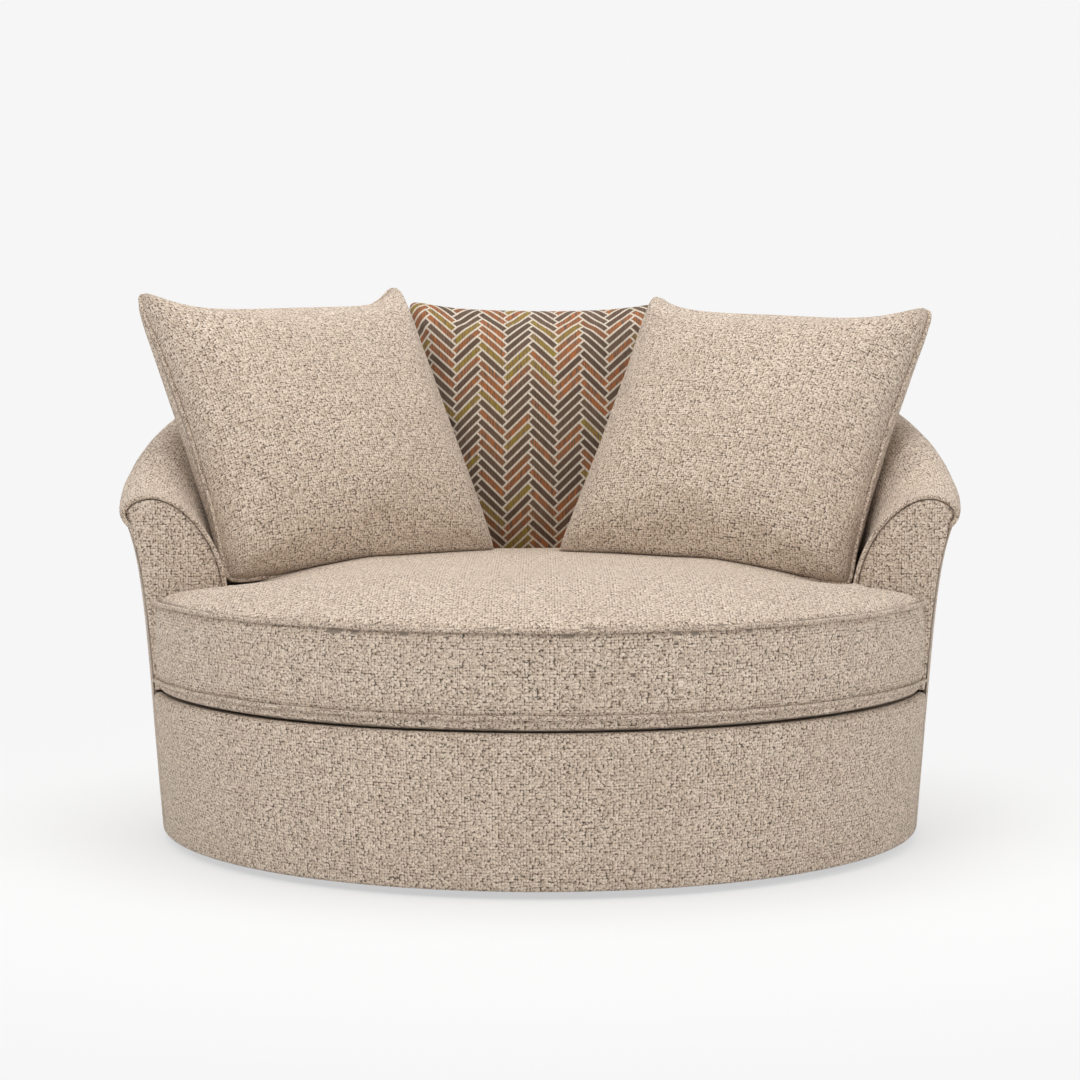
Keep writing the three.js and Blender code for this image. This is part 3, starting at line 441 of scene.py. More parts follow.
# Mesh helpers
def newPiece(name, points, faces, cloth=None):
    mesh = bpy.data.meshes.new(name)
    mesh.from_pydata(np.asarray(points).reshape(-1, 3).tolist(), [], faces)
    piece = bpy.data.objects.new(name, mesh)
    stage.collection.objects.link(piece)
    shape = bmesh.new()
    shape.from_mesh(mesh)
    bmesh.ops.recalc_face_normals(shape, faces=shape.faces)
    if shape.calc_volume(signed=True) < 0:
        bmesh.ops.reverse_faces(shape, faces=shape.faces)
    shape.to_mesh(mesh)
    shape.free()
    mesh.shade_smooth()
    if cloth is not None:
        layCloth(piece, cloth)
    return piece


def layCloth(piece, cloth):  # stores where each point lies on the cloth
    cloth = np.asarray(cloth, dtype=np.float32).reshape(-1, 2)
    flat = np.zeros((len(cloth), 3), dtype=np.float32)
    flat[:, :2] = cloth
    layer = piece.data.attributes.get("clothPlace")
    if layer is None:
        layer = piece.data.attributes.new("clothPlace", "FLOAT_VECTOR", "POINT")
    layer.data.foreach_set("vector", flat.ravel())


def gridFaces(index):
    corners = [index[:-1, :-1], index[1:, :-1], index[1:, 1:], index[:-1, 1:]]
    return np.stack(corners, -1).reshape(-1, 4).tolist()


# Each row of points closes on itself. The rows run on into a loop, or else the first and last get caps.
def sweptFaces(rows, columns, loop=False):
    index = np.arange(rows * columns).reshape(rows, columns)
    caps = [] if loop else [index[0].tolist(), index[-1].tolist()]
    index = np.hstack([index, index[:, :1]])
    if loop:
        index = np.vstack([index, index[:1]])
    return gridFaces(index) + caps


def sweptPiece(name, points, cloth, loop=False):
    return newPiece(name, points, sweptFaces(*points.shape[:2], loop), cloth)


# Two sheets of points with one rim between them; the back one is cut from its own place on the cloth
backCut = np.array([0.9, 0.4])


def twoSheetPiece(name, front, back, cloth):
    rows, columns = front.shape[:2]
    frontIndex = np.arange(rows * columns).reshape(rows, columns)
    backIndex = np.full((rows, columns), -1)
    inner = np.zeros((rows, columns), bool)
    inner[1:-1, 1:-1] = True
    backIndex[~inner] = frontIndex[~inner]
    backIndex[inner] = rows * columns + np.arange(inner.sum())
    points = np.vstack([front.reshape(-1, 3), back[inner]])
    places = np.vstack([cloth.reshape(-1, 2), cloth[inner] + backCut])
    faces = gridFaces(frontIndex) + [face[::-1] for face in gridFaces(backIndex)]
    piece = newPiece(name, points, faces, places)
    return piece, frontIndex, backIndex


def valuesOf(mesh, kind):
    flat = np.empty(len(mesh.vertices) * 3)
    mesh.vertices.foreach_get(kind, flat)
    return flat.reshape(-1, 3)


def coordsOf(piece):
    return valuesOf(piece.data, "co")


def normalsOf(piece):
    return valuesOf(piece.data, "normal")


def moveTo(piece, coords):
    piece.data.vertices.foreach_set("co", np.asarray(coords).ravel())
    piece.data.update()


def wavy(points, size, shift=0.0):  # smooth bumps from -1 to 1, the same on each run
    places = np.asarray(points) / size + np.array([shift, 0, -shift])
    return np.array([noise.noise(Vector(place)) for place in places])


def uneven(points, waves):  # bumps of several sizes, each with its height, size and shift
    return sum(height * wavy(points, size, shift) for height, size, shift in waves)


def along(path):  # distance along a path
    steps = np.linalg.norm(np.diff(path, axis=0), axis=1)
    return np.concatenate([[0], np.cumsum(steps)])


def resampled(path, count, closed=False):
    path = np.asarray(path, float)
    if closed:
        path = np.vstack([path, path[:1]])
    reach = along(path)
    wanted = np.linspace(0, reach[-1], count, endpoint=not closed)
    return np.stack([np.interp(wanted, reach, path[:, k]) for k in range(path.shape[1])], -1)


def smoothstep(low, high, value):  # 0 at low, 1 at high
    share = np.clip((value - low) / (high - low), 0, 1)
    return share * share * (3 - 2 * share)


def subdivided(piece):
    subdivision = piece.modifiers.new("subdivision", "SUBSURF")
    subdivision.levels = 1
    subdivision.render_levels = 1


def dress(piece, finish, body, nodes=()):
    piece.data.materials.append(finishes[finish])
    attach(piece, body)
    if nodes:
        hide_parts(*nodes)


# A bead of piping along a path; up is roughly square to the path
piping = {"radius": 0.0036, "sides": 10, "uneven": 0.05, "unevenSize": 0.02}


def beadPiece(name, path, up, loop=False):
    before = np.roll(path, 1, axis=0)
    after = np.roll(path, -1, axis=0)
    if not loop:
        before[0] = path[0]
        after[-1] = path[-1]
    forward = unitRows(after - before)
    out = unitRows(np.cross(forward, up))
    rise = np.cross(out, forward)
    turn = (np.arange(piping["sides"]) * 2 * math.pi / piping["sides"])[None, :, None]
    ring = out[:, None] * np.cos(turn) + rise[:, None] * np.sin(turn)
    radius = piping["radius"] * (1 + piping["uneven"] * wavy(path, piping["unevenSize"]))
    return sweptPiece(name, path[:, None] + radius[:, None, None] * ring, None, loop=loop)


def unitRows(vectors):
    return vectors / np.linalg.norm(vectors, axis=1)[:, None]


# Cloth: the pinned points stay, the rest swells under pressure, and no point moves further than cap
clothing = {"frames": 20, "pressure": 4.0, "quality": 5, "mass": 0.35, "stiffness": 15.0}


def swell(piece, pinned, cap, extra, pressure=clothing["pressure"]):
    seams = piece.vertex_groups.new(name="seams")
    seams.add([int(i) for i in pinned], 1.0, "REPLACE")
    modifier = piece.modifiers.new("cloth", "CLOTH")
    settings = modifier.settings
    settings.vertex_group_mass = "seams"
    settings.use_pressure = True
    settings.uniform_pressure_force = pressure
    settings.effector_weights.gravity = 0
    settings.quality = clothing["quality"]
    settings.mass = clothing["mass"]
    settings.tension_stiffness = clothing["stiffness"]
    settings.compression_stiffness = clothing["stiffness"]
    settings.shrink_min = -extra
    modifier.point_cache.frame_start = 1
    modifier.point_cache.frame_end = clothing["frames"]
    start = coordsOf(piece)
    for step in range(1, clothing["frames"] + 1):
        stage.frame_set(step)
    graph = bpy.context.evaluated_depsgraph_get()
    settled = valuesOf(piece.evaluated_get(graph).to_mesh(), "co")
    piece.evaluated_get(graph).to_mesh_clear()
    piece.modifiers.remove(modifier)
    stage.frame_set(1)
    piece.vertex_groups.remove(seams)
    move = settled - start
    normals = normalsOf(piece)
    move -= normals * np.minimum((move * normals).sum(axis=1), 0)[:, None]  # it only swells
    length = np.linalg.norm(move, axis=1)
    move *= (np.minimum(length, cap) / np.maximum(length, 1e-9))[:, None]
    moveTo(piece, start + move)
    print(piece.name, "swelled by up to", round(float(length.max()) * 1000, 1), "mm")


def treeOf(piece):
    return BVHTree.FromPolygons([v.co.copy() for v in piece.data.vertices],
                                [tuple(p.vertices) for p in piece.data.polygons])


def keptOut(points, tree, gap, reach=0.08):  # points inside a closed piece go back to its surface
    kept = points.copy()
    for i, point in enumerate(points):
        place, normal, _, _ = tree.find_nearest(Vector(point), reach)
        if place is None:
            continue
        depth = (Vector(point) - place).dot(normal)
        if depth < gap:
            kept[i] = place + normal * gap
    return kept


# Sizes that the walls, the roll, the facings and the seat share
plan = {"base": 0.622, "crest": 0.643, "lip": 0.689, "inner": 0.528, "backDepth": 0.9434, "facing": 0.170,
        "wallEnd": 0.1507, "sweep": 0.72, "flare": 0.4, "flarePower": 8}
levels = {"hem": 0.012, "deck": 0.245, "spring": 0.400, "arm": 0.561, "back": 0.730, "lip": 0.530,
          "lipDrop": 0.031, "underside": 0.508, "seatRing": 0.2183}
cover = {"thickness": 0.006, "hem": 0.006, "hemSteps": 5}
touch = 0.0003


def crestAt(y):  # the roll's height: level at the arm's front, sweeping up to the back
    span = (plan["facing"] + plan["lip"] * plan["backDepth"]) * plan["sweep"]
    return levels["arm"] + (levels["back"] - levels["arm"]) * smoothstep(0, span, y + plan["facing"])


def lifted(z, y):
    stretch = (crestAt(y) - levels["deck"]) / (levels["arm"] - levels["deck"])
    return np.where(z <= levels["deck"], z, levels["deck"] + (z - levels["deck"]) * stretch)


def around(radius, turn, z):  # from the back (+Y) towards the right (+X)
    y = radius * np.cos(turn) * np.where(np.cos(turn) > 0, plan["backDepth"], 1)
    return np.stack(np.broadcast_arrays(radius * np.sin(turn), y, lifted(z, y)), -1)


def endTurn(radius, setback):
    return rightAngle + np.arcsin(setback / radius)


def outsideRadius(z):  # widens slowly from the floor and flares under the roll
    share = np.minimum(z / (levels["lip"] + levels["lipDrop"] / 4), 1)
    widening = (1 - plan["flare"]) * share + plan["flare"] * share ** plan["flarePower"]
    return plan["base"] + (plan["lip"] - plan["base"]) * widening


# A section's points and their places on the cloth, carried round the back or round the front
def carried(section, setback, steps, front=False):
    radius, z = section[:, 0], section[:, 1]
    share = np.linspace(-1, 1, steps + 1)[:, None]
    end = endTurn(radius, setback)[None]
    turn = math.pi + share * (math.pi - end) if front else share * end
    across = np.broadcast_to(along(section)[None], turn.shape)
    return around(radius[None], turn, z[None]), np.stack([turn * plan["base"], across], -1)


def freeShare(coords, limits):  # limits: an axis, where the share is 0 and where it is 1
    free = np.ones(len(coords))
    for axis, start, end in limits:
        free *= smoothstep(start, end, coords[:, axis])
    return free


def endsAt(section, setback):  # where a wall ends in front; below the deck it meets the drum's front cover
    return np.where(section[:, 1] > levels["deck"], setback, plan["wallEnd"])


def arc(centre, radius, fromTurn, toTurn, count):
    turn = np.linspace(fromTurn, toTurn, count)
    return np.stack([centre[0] + radius * np.cos(turn), centre[1] + radius * np.sin(turn)], -1)


# A fabric wall's section: up the outside from a rounded hem. insideOf gives its way back down.
def fabricWall(top, rows):
    hem, steps = cover["hem"], cover["hemSteps"]
    z = np.linspace(levels["hem"] + hem, top, rows)
    outer = np.stack([outsideRadius(z), z], -1)
    turnedUp = arc((outer[0, 0] - hem, levels["hem"] + hem), hem, -rightAngle, 0, steps + 1)[:-1]
    return np.vstack([turnedUp, outer])


def insideOf(outer):
    inner = outer[cover["hemSteps"]:][::-1].copy()
    inner[:, 0] -= cover["thickness"]
    return inner


def ripple(piece, sizes):  # waves a cover out from the chair's middle line, where it hangs free
    coords = coordsOf(piece)
    shift = uneven(coords, sizes["waves"]) * freeShare(coords, sizes["free"])
    moveTo(piece, coords + unitRows(coords * np.array([1, 1, 0])) * shift[:, None])


# Outside back cover
outsideCover = {"steps": 150, "rows": 34, "end": 0.1624, "waves": ((0.0012, 0.16, 0), (0.0006, 0.06, 3)),
                "free": ((2, 0.012, 0.06), (1, -0.15, -0.05))}


def makeOutsideCover():
    outer = fabricWall(levels["underside"] - touch, outsideCover["rows"])
    section = np.vstack([outer, insideOf(outer)])
    points, cloth = carried(section, endsAt(section, outsideCover["end"]), outsideCover["steps"])
    piece = sweptPiece("outside_back_cover_fabric", points, cloth)
    ripple(piece, outsideCover)
    dress(piece, "tweed", "chair", ["outside_back_cover"])


# Front drum cover
frontCover = {"steps": 120, "rows": 18, "round": 0.010, "roundSteps": 8, "lap": 0.0155, "lapDrop": 0.0012,
              "end": 0.151, "waves": ((0.0011, 0.15, 7), (0.00055, 0.05, 5)), "cut": (5, 0),
              "free": ((2, 0.012, 0.05), (1, -0.155, -0.22), (2, 0.243, 0.225))}


def makeFrontCover():
    top, bend = levels["deck"] - touch, frontCover["round"]
    outer = fabricWall(top - bend, frontCover["rows"])
    edge = outer[-1, 0]
    shoulder = arc((edge - bend, top - bend), bend, 0, rightAngle, frontCover["roundSteps"])[1:]
    lap = [[edge - frontCover["lap"], top - frontCover["lapDrop"]]]
    section = np.vstack([outer, shoulder, lap, insideOf(outer)])
    points, cloth = carried(section, frontCover["end"], frontCover["steps"], front=True)
    piece = sweptPiece("front_drum_cover_fabric", points, cloth + np.array(frontCover["cut"]))
    ripple(piece, frontCover)
    dress(piece, "tweed", "chair", ["front_drum_cover"])


# Inside arms and back, rolled over the crest
roll = {"steps": 170, "wallRows": 12, "inside": 16, "curl": 14, "fullness": 1.8, "end": 0.1622,
        "lipInside": 0.626, "backing": 0.585, "backingRow": 0.30, "cut": (0, 2),
        "waves": ((0.0012, 0.14, 2), (0.00072, 0.05, 9)),
        "free": ((1, -0.155, -0.04), (2, 0.3, 0.42))}


def insideFace(count):
    turn = np.linspace(0, rightAngle, count)
    power = 2 / roll["fullness"]
    radius = plan["crest"] - (plan["crest"] - plan["inner"]) * np.cos(turn) ** power
    z = levels["spring"] + (levels["arm"] - levels["spring"]) * np.sin(turn) ** power
    return np.stack([radius, z], -1)


def outerCurl(count):
    last = -math.asin((levels["lip"] - levels["underside"]) / levels["lipDrop"])
    turn = np.linspace(rightAngle, last, count)[1:]
    radius = plan["crest"] + (plan["lip"] - plan["crest"]) * np.cos(turn)
    rise = np.where(turn > 0, levels["arm"] - levels["lip"], levels["lipDrop"])
    return np.stack([radius, levels["lip"] + rise * np.sin(turn)], -1)


def makeInsidePad():
    heights = np.linspace(levels["seatRing"], levels["spring"], roll["wallRows"])[:-1]
    straight = np.stack([np.full(len(heights), plan["inner"]), heights], -1)
    backing = [[roll["lipInside"], levels["underside"]]]
    for z in (levels["underside"], levels["spring"], roll["backingRow"], levels["seatRing"]):
        backing.append([roll["backing"], z])
    section = np.vstack([straight, insideFace(roll["inside"]), outerCurl(roll["curl"]), backing])
    points, cloth = carried(section, endsAt(section, roll["end"]), roll["steps"])
    piece = sweptPiece("inside_arms_and_back_fabric", points, cloth + np.array(roll["cut"]))
    coords = coordsOf(piece)
    shift = uneven(coords, roll["waves"]) * freeShare(coords, roll["free"])
    moveTo(piece, coords + normalsOf(piece) * shift[:, None])
    dress(piece, "tweed", "chair", ["inside_arms_and_back_pad"])
    return piece


# Arm facings with their piping
facing = {"rows": 46, "columns": 15, "back": 0.1626, "puff": 0.0085, "edgePower": 0.36, "bead": 0.0072,
          "footRows": 12, "footPower": 14, "tip": 0.02, "cut": (2, 0.3), "beadRows": 40,
          "pipingInset": 0.0026, "pipingRows": 150, "pipingWaves": ((0.0004, 0.03, 0),)}


def beadLine(inset):
    count = facing["beadRows"]
    foot = [[plan["inner"], levels["deck"] + touch]]
    line = np.vstack([foot, insideFace(count), outerCurl(count // 2)])
    flat = np.stack([np.sqrt(line[:, 0] ** 2 - plan["facing"] ** 2), line[:, 1]], -1)
    step = unitRows(np.gradient(flat, axis=0))
    return (flat + np.stack([step[:, 1], -step[:, 0]], -1) * inset)[:-1]


def makeFacing(name, side):
    line = beadLine(facing["bead"])
    z = np.linspace(line[-1, 1], levels["deck"] + touch, facing["footRows"])[1:]
    outerEdge = np.stack([np.sqrt(outsideRadius(z) ** 2 - plan["facing"] ** 2), z], -1)
    outline = np.vstack([line, outerEdge])
    apex = int(np.argmax(outline[:, 1]))
    inner = resampled(outline[:apex + 1], facing["rows"])
    outer = resampled(outline[apex:][::-1], facing["rows"])
    outer[-1] += (inner[-2] - outer[-1]) * facing["tip"]
    inner[-1] += (outer[-2] - inner[-1]) * facing["tip"]
    across = np.sin(np.linspace(-rightAngle, rightAngle, facing["columns"]))
    share = ((across + 1) / 2)[None, :, None]
    flat = inner[:, None] * (1 - share) + outer[:, None] * share
    ends = 1 - np.abs(np.linspace(-1, 1, facing["rows"])) ** facing["footPower"]
    profile = ((1 - across ** 2)[None] * ends[:, None]) ** facing["edgePower"]
    front = np.stack([side * flat[..., 0], -facing["back"] - facing["puff"] * profile, flat[..., 1]], -1)
    back = front.copy()
    back[..., 1] = -facing["back"] + touch * (profile > 0)
    cloth = flat + np.array(facing["cut"]) + np.array([side, 0])
    piece, _, _ = twoSheetPiece(name + "_arm_facing_fabric", front, back, cloth)
    subdivided(piece)
    dress(piece, "tweed", "chair", [name + "_arm_facing"])
    path = resampled(beadLine(facing["pipingInset"]), facing["pipingRows"])
    front = np.full(len(path), piping["radius"] - plan["facing"])
    path = np.stack([side * path[:, 0], front, path[:, 1]], -1)
    path += uneven(path, facing["pipingWaves"])[:, None]
    bead = beadPiece(name + "_facing_piping_bead", path, np.array([0, 1.0, 0]))
    dress(bead, "piping", "chair", [name + "_facing_piping"])


# Seat cushion: a T-shaped boxed cushion with piping round both seams
seat = {
    "frontRadius": 0.6423, "rearRadius": 0.517, "setback": 0.1788, "cornerRound": 0.034, "innerRound": 0.012,
    "foot": 0.2453, "seamLow": 0.268, "seamHigh": 0.393, "crown": 0.044, "centre": (0, -0.25),
    "bulge": 0.007, "voxel": 0.009, "soften": 0.5, "softenPasses": 3, "start": 0.010, "cap": 0.022,
    "extra": 0.004, "pinned": 0.75, "tuck": 0.003, "tuckReach": 0.013,
    "waves": ((0.0016, 0.17, 4), (0.00064, 0.06, 6)), "sideShare": 0.3, "topReach": 0.02,
    "clear": 0.0002, "padGap": 0.0015, "wallRows": (0.003, 0.002), "wallCut": 3, "panelCut": (7, 0),
    "pipingOut": 0.0026, "pipingWaves": ((0.0012, 0.09, 1), (0.0005, 0.02, 2)), "outlinePoints": 640,
    "cornerPoints": 8, "rearPoints": 90, "forePoints": 110,
}
seatRings = {  # shares of the outline, from the middle of the underside to the middle of the top
    "under": (0.08, 0.925, 8), "edge": ((0.955, 0.02), (0.975, 0.09), (0.989, 0.3), (0.998, 0.65), (1, 1)),
    "wall": 12, "wallPower": 0.7, "rim": (1, 0.99, 0.975, 0.955, 0.93), "top": (0.9, 0.08, 14),
    "topPower": 4, "topFullness": 0.55,
}


def softCorner(before, corner, after, reach):
    start = corner + (before - corner) / np.linalg.norm(before - corner) * reach
    end = corner + (after - corner) / np.linalg.norm(after - corner) * reach
    t = np.linspace(0, 1, seat["cornerPoints"])[:, None]
    return (1 - t) ** 2 * start + 2 * t * (1 - t) * corner + t * t * end


# The two arcs of a T-shaped plan, which end where the arms do
def rearAndFore(innerRadius, outerRadius, setback):
    innerTurn, outerTurn = endTurn(innerRadius, setback), endTurn(outerRadius, setback)
    rear = around(innerRadius, np.linspace(-innerTurn, innerTurn, seat["rearPoints"]), 0)
    fore = around(outerRadius, np.linspace(outerTurn, 2 * math.pi - outerTurn, seat["forePoints"]), 0)
    return rear[:, :2], fore[:, :2]


def seatOutline(grow=0.0, front=0.0, count=420):
    outerRadius, innerRadius = seat["frontRadius"] + grow + front, seat["rearRadius"] + grow
    rear, fore = rearAndFore(innerRadius, outerRadius, seat["setback"] - grow)
    reach, small = seat["cornerRound"], seat["innerRound"]
    path = np.vstack([
        rear[1:-1],
        softCorner(rear[-2], rear[-1], fore[0], small), softCorner(rear[-1], fore[0], fore[3], reach),
        fore[3:-3],
        softCorner(fore[-4], fore[-1], rear[0], reach), softCorner(fore[-1], rear[0], rear[1], small),
    ])
    return resampled(path, count, closed=True)


def seatSections():  # share of the outline, height and bulge of each ring
    low, high, foot = seat["seamLow"], seat["seamHigh"], seat["foot"]
    shrink = seat["start"]
    rings = [(share, foot, 0) for share in np.linspace(*seatRings["under"])]
    rings += [(share, foot + (low - foot) * rise, 0) for share, rise in seatRings["edge"]]
    for t in np.linspace(0, 1, seatRings["wall"])[1:-1]:
        bulge = (seat["bulge"] - shrink / 2) * math.sin(math.pi * t) ** seatRings["wallPower"]
        rings.append((1, low + (high - low) * t, bulge))
    for share in np.concatenate([seatRings["rim"], np.linspace(*seatRings["top"])]):
        rise = (1 - share ** seatRings["topPower"]) ** seatRings["topFullness"]
        rings.append((share, high + (seat["crown"] - shrink) * rise, 0))
    return rings


def makeSeatCushion(padTree):
    centre = np.array(seat["centre"])
    low, high, foot = seat["seamLow"], seat["seamHigh"], seat["foot"]
    points = []
    for share, z, bulge in seatSections():
        flat = centre + (seatOutline(0, bulge) - centre) * share
        points.append(np.column_stack([flat, np.full(len(flat), z)]))
    piece = sweptPiece("seat_cushion", np.array(points), None)
    remeshed(piece, seat["voxel"])
    coords = coordsOf(piece)
    coords[:, 2] = np.maximum(coords[:, 2], foot)
    moveTo(piece, coords)
    outline = seatOutline(0, 0, seat["outlinePoints"])
    seams = [np.column_stack([outline, np.full(len(outline), z)]) for z in (low, high)]
    distance = gapTo(coords, seams)
    still = (distance < seat["voxel"] * seat["pinned"]) | (coords[:, 2] < low)
    swell(piece, np.nonzero(still)[0], seat["cap"], seat["extra"])
    coords = coordsOf(piece)
    distance = gapTo(coords, seams)
    tuck = seat["tuck"] * np.clip(1 - distance / seat["tuckReach"], 0, 1) ** 2
    top = smoothstep(high, high + seat["topReach"], coords[:, 2])
    bumps = uneven(coords, seat["waves"]) * (seat["sideShare"] + (1 - seat["sideShare"]) * top)
    coords += normalsOf(piece) * (bumps - tuck)[:, None]
    coords[:, 2] = np.maximum(coords[:, 2], foot + seat["clear"])
    coords = keptOut(recessZip(coords), padTree, seat["padGap"])
    moveTo(piece, coords)
    place = distanceTo(coords[:, :2], outline)[1]
    reach = along(np.vstack([outline, outline[:1]]))[place]
    above, below = seat["wallRows"]
    walls = (coords[:, 2] > foot + above) & (coords[:, 2] < high - below)
    cloth = np.where(walls[:, None], np.column_stack([reach, coords[:, 2] + seat["wallCut"]]),
                     coords[:, :2] + np.array(seat["panelCut"]))
    layCloth(piece, cloth)
    subdivided(piece)
    dress(piece, "tweed", "seat_cushion", ["seat_cushion_cover", "seat_cushion_foam"])
    for label, z in (("low", low), ("high", high)):
        path = seatOutline(seat["pipingOut"], 0, seat["outlinePoints"])
        path = np.column_stack([path, np.full(len(path), z)])
        path[:, 2] += uneven(path, seat["pipingWaves"])
        bead = beadPiece("seat_piping_" + label + "_bead", path, np.array([0, 0, 1.0]), loop=True)
        dress(bead, "piping", "seat_cushion", ["seat_piping_" + label])
    makeSeatZip()
    return piece


def remeshed(piece, voxel):
    blocks = piece.modifiers.new("remesh", "REMESH")
    blocks.mode = "VOXEL"
    blocks.voxel_size = voxel
    blocks.use_smooth_shade = True
    soften = piece.modifiers.new("soften", "SMOOTH")
    soften.factor = seat["soften"]
    soften.iterations = seat["softenPasses"]
    graph = bpy.context.evaluated_depsgraph_get()
    mesh = bpy.data.meshes.new_from_object(piece.evaluated_get(graph))
    old = piece.data
    piece.modifiers.clear()
    piece.data = mesh
    bpy.data.meshes.remove(old)


def distanceTo(points, path, chunk=4000):  # distance to the nearest point of a path, and which it is
    distances, places = [], []
    for start in range(0, len(points), chunk):
        part = points[start:start + chunk]
        gaps = np.linalg.norm(part[:, None] - path[None], axis=2)
        places.append(np.argmin(gaps, axis=1))
        distances.append(gaps.min(axis=1))
    return np.concatenate(distances), np.concatenate(places)


def gapTo(points, paths):
    return np.min([distanceTo(points, path)[0] for path in paths], axis=0)


# The zip in the rear boxing: its tape lies in a shallow recess, with the teeth along the middle
zipTape = {"half": 0.0056, "thick": 0.0014}
seatZip = {"turn": 25, "ends": 0.001, "recess": 0.003, "recessHeight": (0.022, 0.010), "fade": (0.05, 0.01),
           "behind": 0.3, "front": 0.0012, "ridge": 0.3, "steps": 90, "teeth": 180, "teethDepth": 0.0008,
           "tooth": (0.0008, 0.0022, 0.0008)}
zipHeight = (seat["seamLow"] + seat["seamHigh"]) / 2


def zipPoint(turn, z, depth):
    place = around(seat["rearRadius"] - depth, turn, 0)
    place[..., 2] = z
    return place


def recessZip(coords):
    turn = np.arctan2(coords[:, 0], coords[:, 1] / plan["backDepth"])
    reach = math.radians(seatZip["turn"])
    none, full = seatZip["fade"]
    near = smoothstep(*seatZip["recessHeight"], np.abs(coords[:, 2] - zipHeight))
    near *= smoothstep(reach + none, reach + full, np.abs(turn)) * (coords[:, 1] > seatZip["behind"])
    wanted = zipPoint(turn, coords[:, 2], seatZip["recess"])
    return coords + (wanted - coords) * near[:, None]


def makeSeatZip():
    reach = math.radians(seatZip["turn"]) - seatZip["ends"]
    turn = np.linspace(-reach, reach, seatZip["steps"])
    heights = zipHeight + np.array([-1, -seatZip["ridge"], seatZip["ridge"], 1]) * zipTape["half"]
    front = np.stack([zipPoint(turn, z, seatZip["front"]) for z in heights], 1)
    back = np.stack([zipPoint(turn, z, seatZip["front"] + zipTape["thick"]) for z in heights[::-1]], 1)
    teeth = []
    for t in np.linspace(-reach, reach, seatZip["teeth"]):
        centre = zipPoint(np.array([t]), zipHeight, seatZip["teethDepth"])[0]
        forward = np.array([math.cos(t), -math.sin(t), 0])
        teeth.append(boxAround(centre, forward, np.array([0, 0, 1.0]), seatZip["tooth"]))
    piece = zipPiece("seat_zip_tape_and_teeth", np.concatenate([front, back], 1), teeth)
    dress(piece, "tape", "seat_cushion", ["seat_zip_tape"])


def boxAround(centre, forward, up, half):
    out = np.cross(forward, up)
    corners = [centre + forward * half[0] * a + up * half[1] * b + out * half[2] * c
               for a in (-1, 1) for b in (-1, 1) for c in (-1, 1)]
    return np.array(corners)


boxFaces = ((0, 1, 3, 2), (4, 6, 7, 5), (0, 4, 5, 1), (2, 3, 7, 6), (0, 2, 6, 4), (1, 5, 7, 3))


def zipPiece(name, tape, teeth):
    faces = sweptFaces(*tape.shape[:2])
    points = [tape.reshape(-1, 3)]
    count = len(points[0])
    for tooth in teeth:
        points.append(tooth)
        faces += [[count + corner for corner in face] for face in boxFaces]
        count += len(tooth)
    piece = newPiece(name, np.vstack(points), faces)
    piece.data.polygons.foreach_set("use_smooth", [False] * len(piece.data.polygons))
    return piece


# Pillows: two square panels sewn edge to edge, and stuffed
backPillow = {"half": 0.270, "thick": 0.230, "pinch": 0.075, "zip": 0.1399, "cloth": "tweed",
              "slot": "upholstery", "ear": 0.058, "footEar": 0.25, "fullness": 0.34, "fill": 0.7}
pillows = {
    "scatter": {
        "place": (0, 0.3888, 0.410), "yaw": 0, "tilt": 15, "roll": 0, "half": 0.245, "thick": 0.130,
        "pinch": 0.07, "zip": 0.1299, "cloth": "bars", "slot": "patterned_cloth", "body": "scatter_cushion",
        "ear": 0.040, "footEar": 1, "sag": 0.095, "flare": 3, "rise": 0.008, "lean": 0, "fullness": 0.42,
        "fill": 0.6, "shift": 3},
    "left_pillow": {
        **backPillow, "place": (-0.2962, 0.0550, 0.424), "yaw": 37, "tilt": 31, "roll": 1.2,
        "body": "left_pillow", "sag": 0.185, "flare": 5, "rise": 0.086, "lean": 0.017, "shift": 11},
    "right_pillow": {
        **backPillow, "place": (0.2812, 0.0251, 0.424), "yaw": -27, "tilt": 35, "roll": -3.5,
        "body": "right_pillow", "sag": 0.165, "flare": 4, "rise": 0.080, "lean": 0.004, "shift": 17},
}
stuffing = {"steps": 56, "startShare": 0.94, "cap": 0.024, "extra": 0.014, "pressure": 2.5, "earPower": 16,
            "crease": 0.0035, "creaseReach": (-0.3, -0.75), "creaseStretch": (1, 0.35, 1),
            "creaseSize": 0.045, "creaseTop": 0.1, "wave": 0.0012, "waveSize": 0.09,
            "seatGap": 0.0008, "softGap": 0.001, "pipingOut": 0.0026, "pipingPoints": 420,
            "pipingPasses": 3}


def pillowMatrix(pillow):
    stands = Matrix.Translation(pillow["place"]) @ Matrix.Rotation(math.radians(pillow["yaw"]), 4, "Z")
    leans = Matrix.Rotation(rightAngle - math.radians(pillow["tilt"]), 4, "X")
    lifted = Matrix.Translation((0, pillow["half"], 0))
    return stands @ leans @ lifted @ Matrix.Rotation(math.radians(pillow["roll"]), 4, "Z")


def turnedBy(matrix, points):
    table = np.array(matrix)
    return points @ table[:3, :3].T + table[:3, 3]


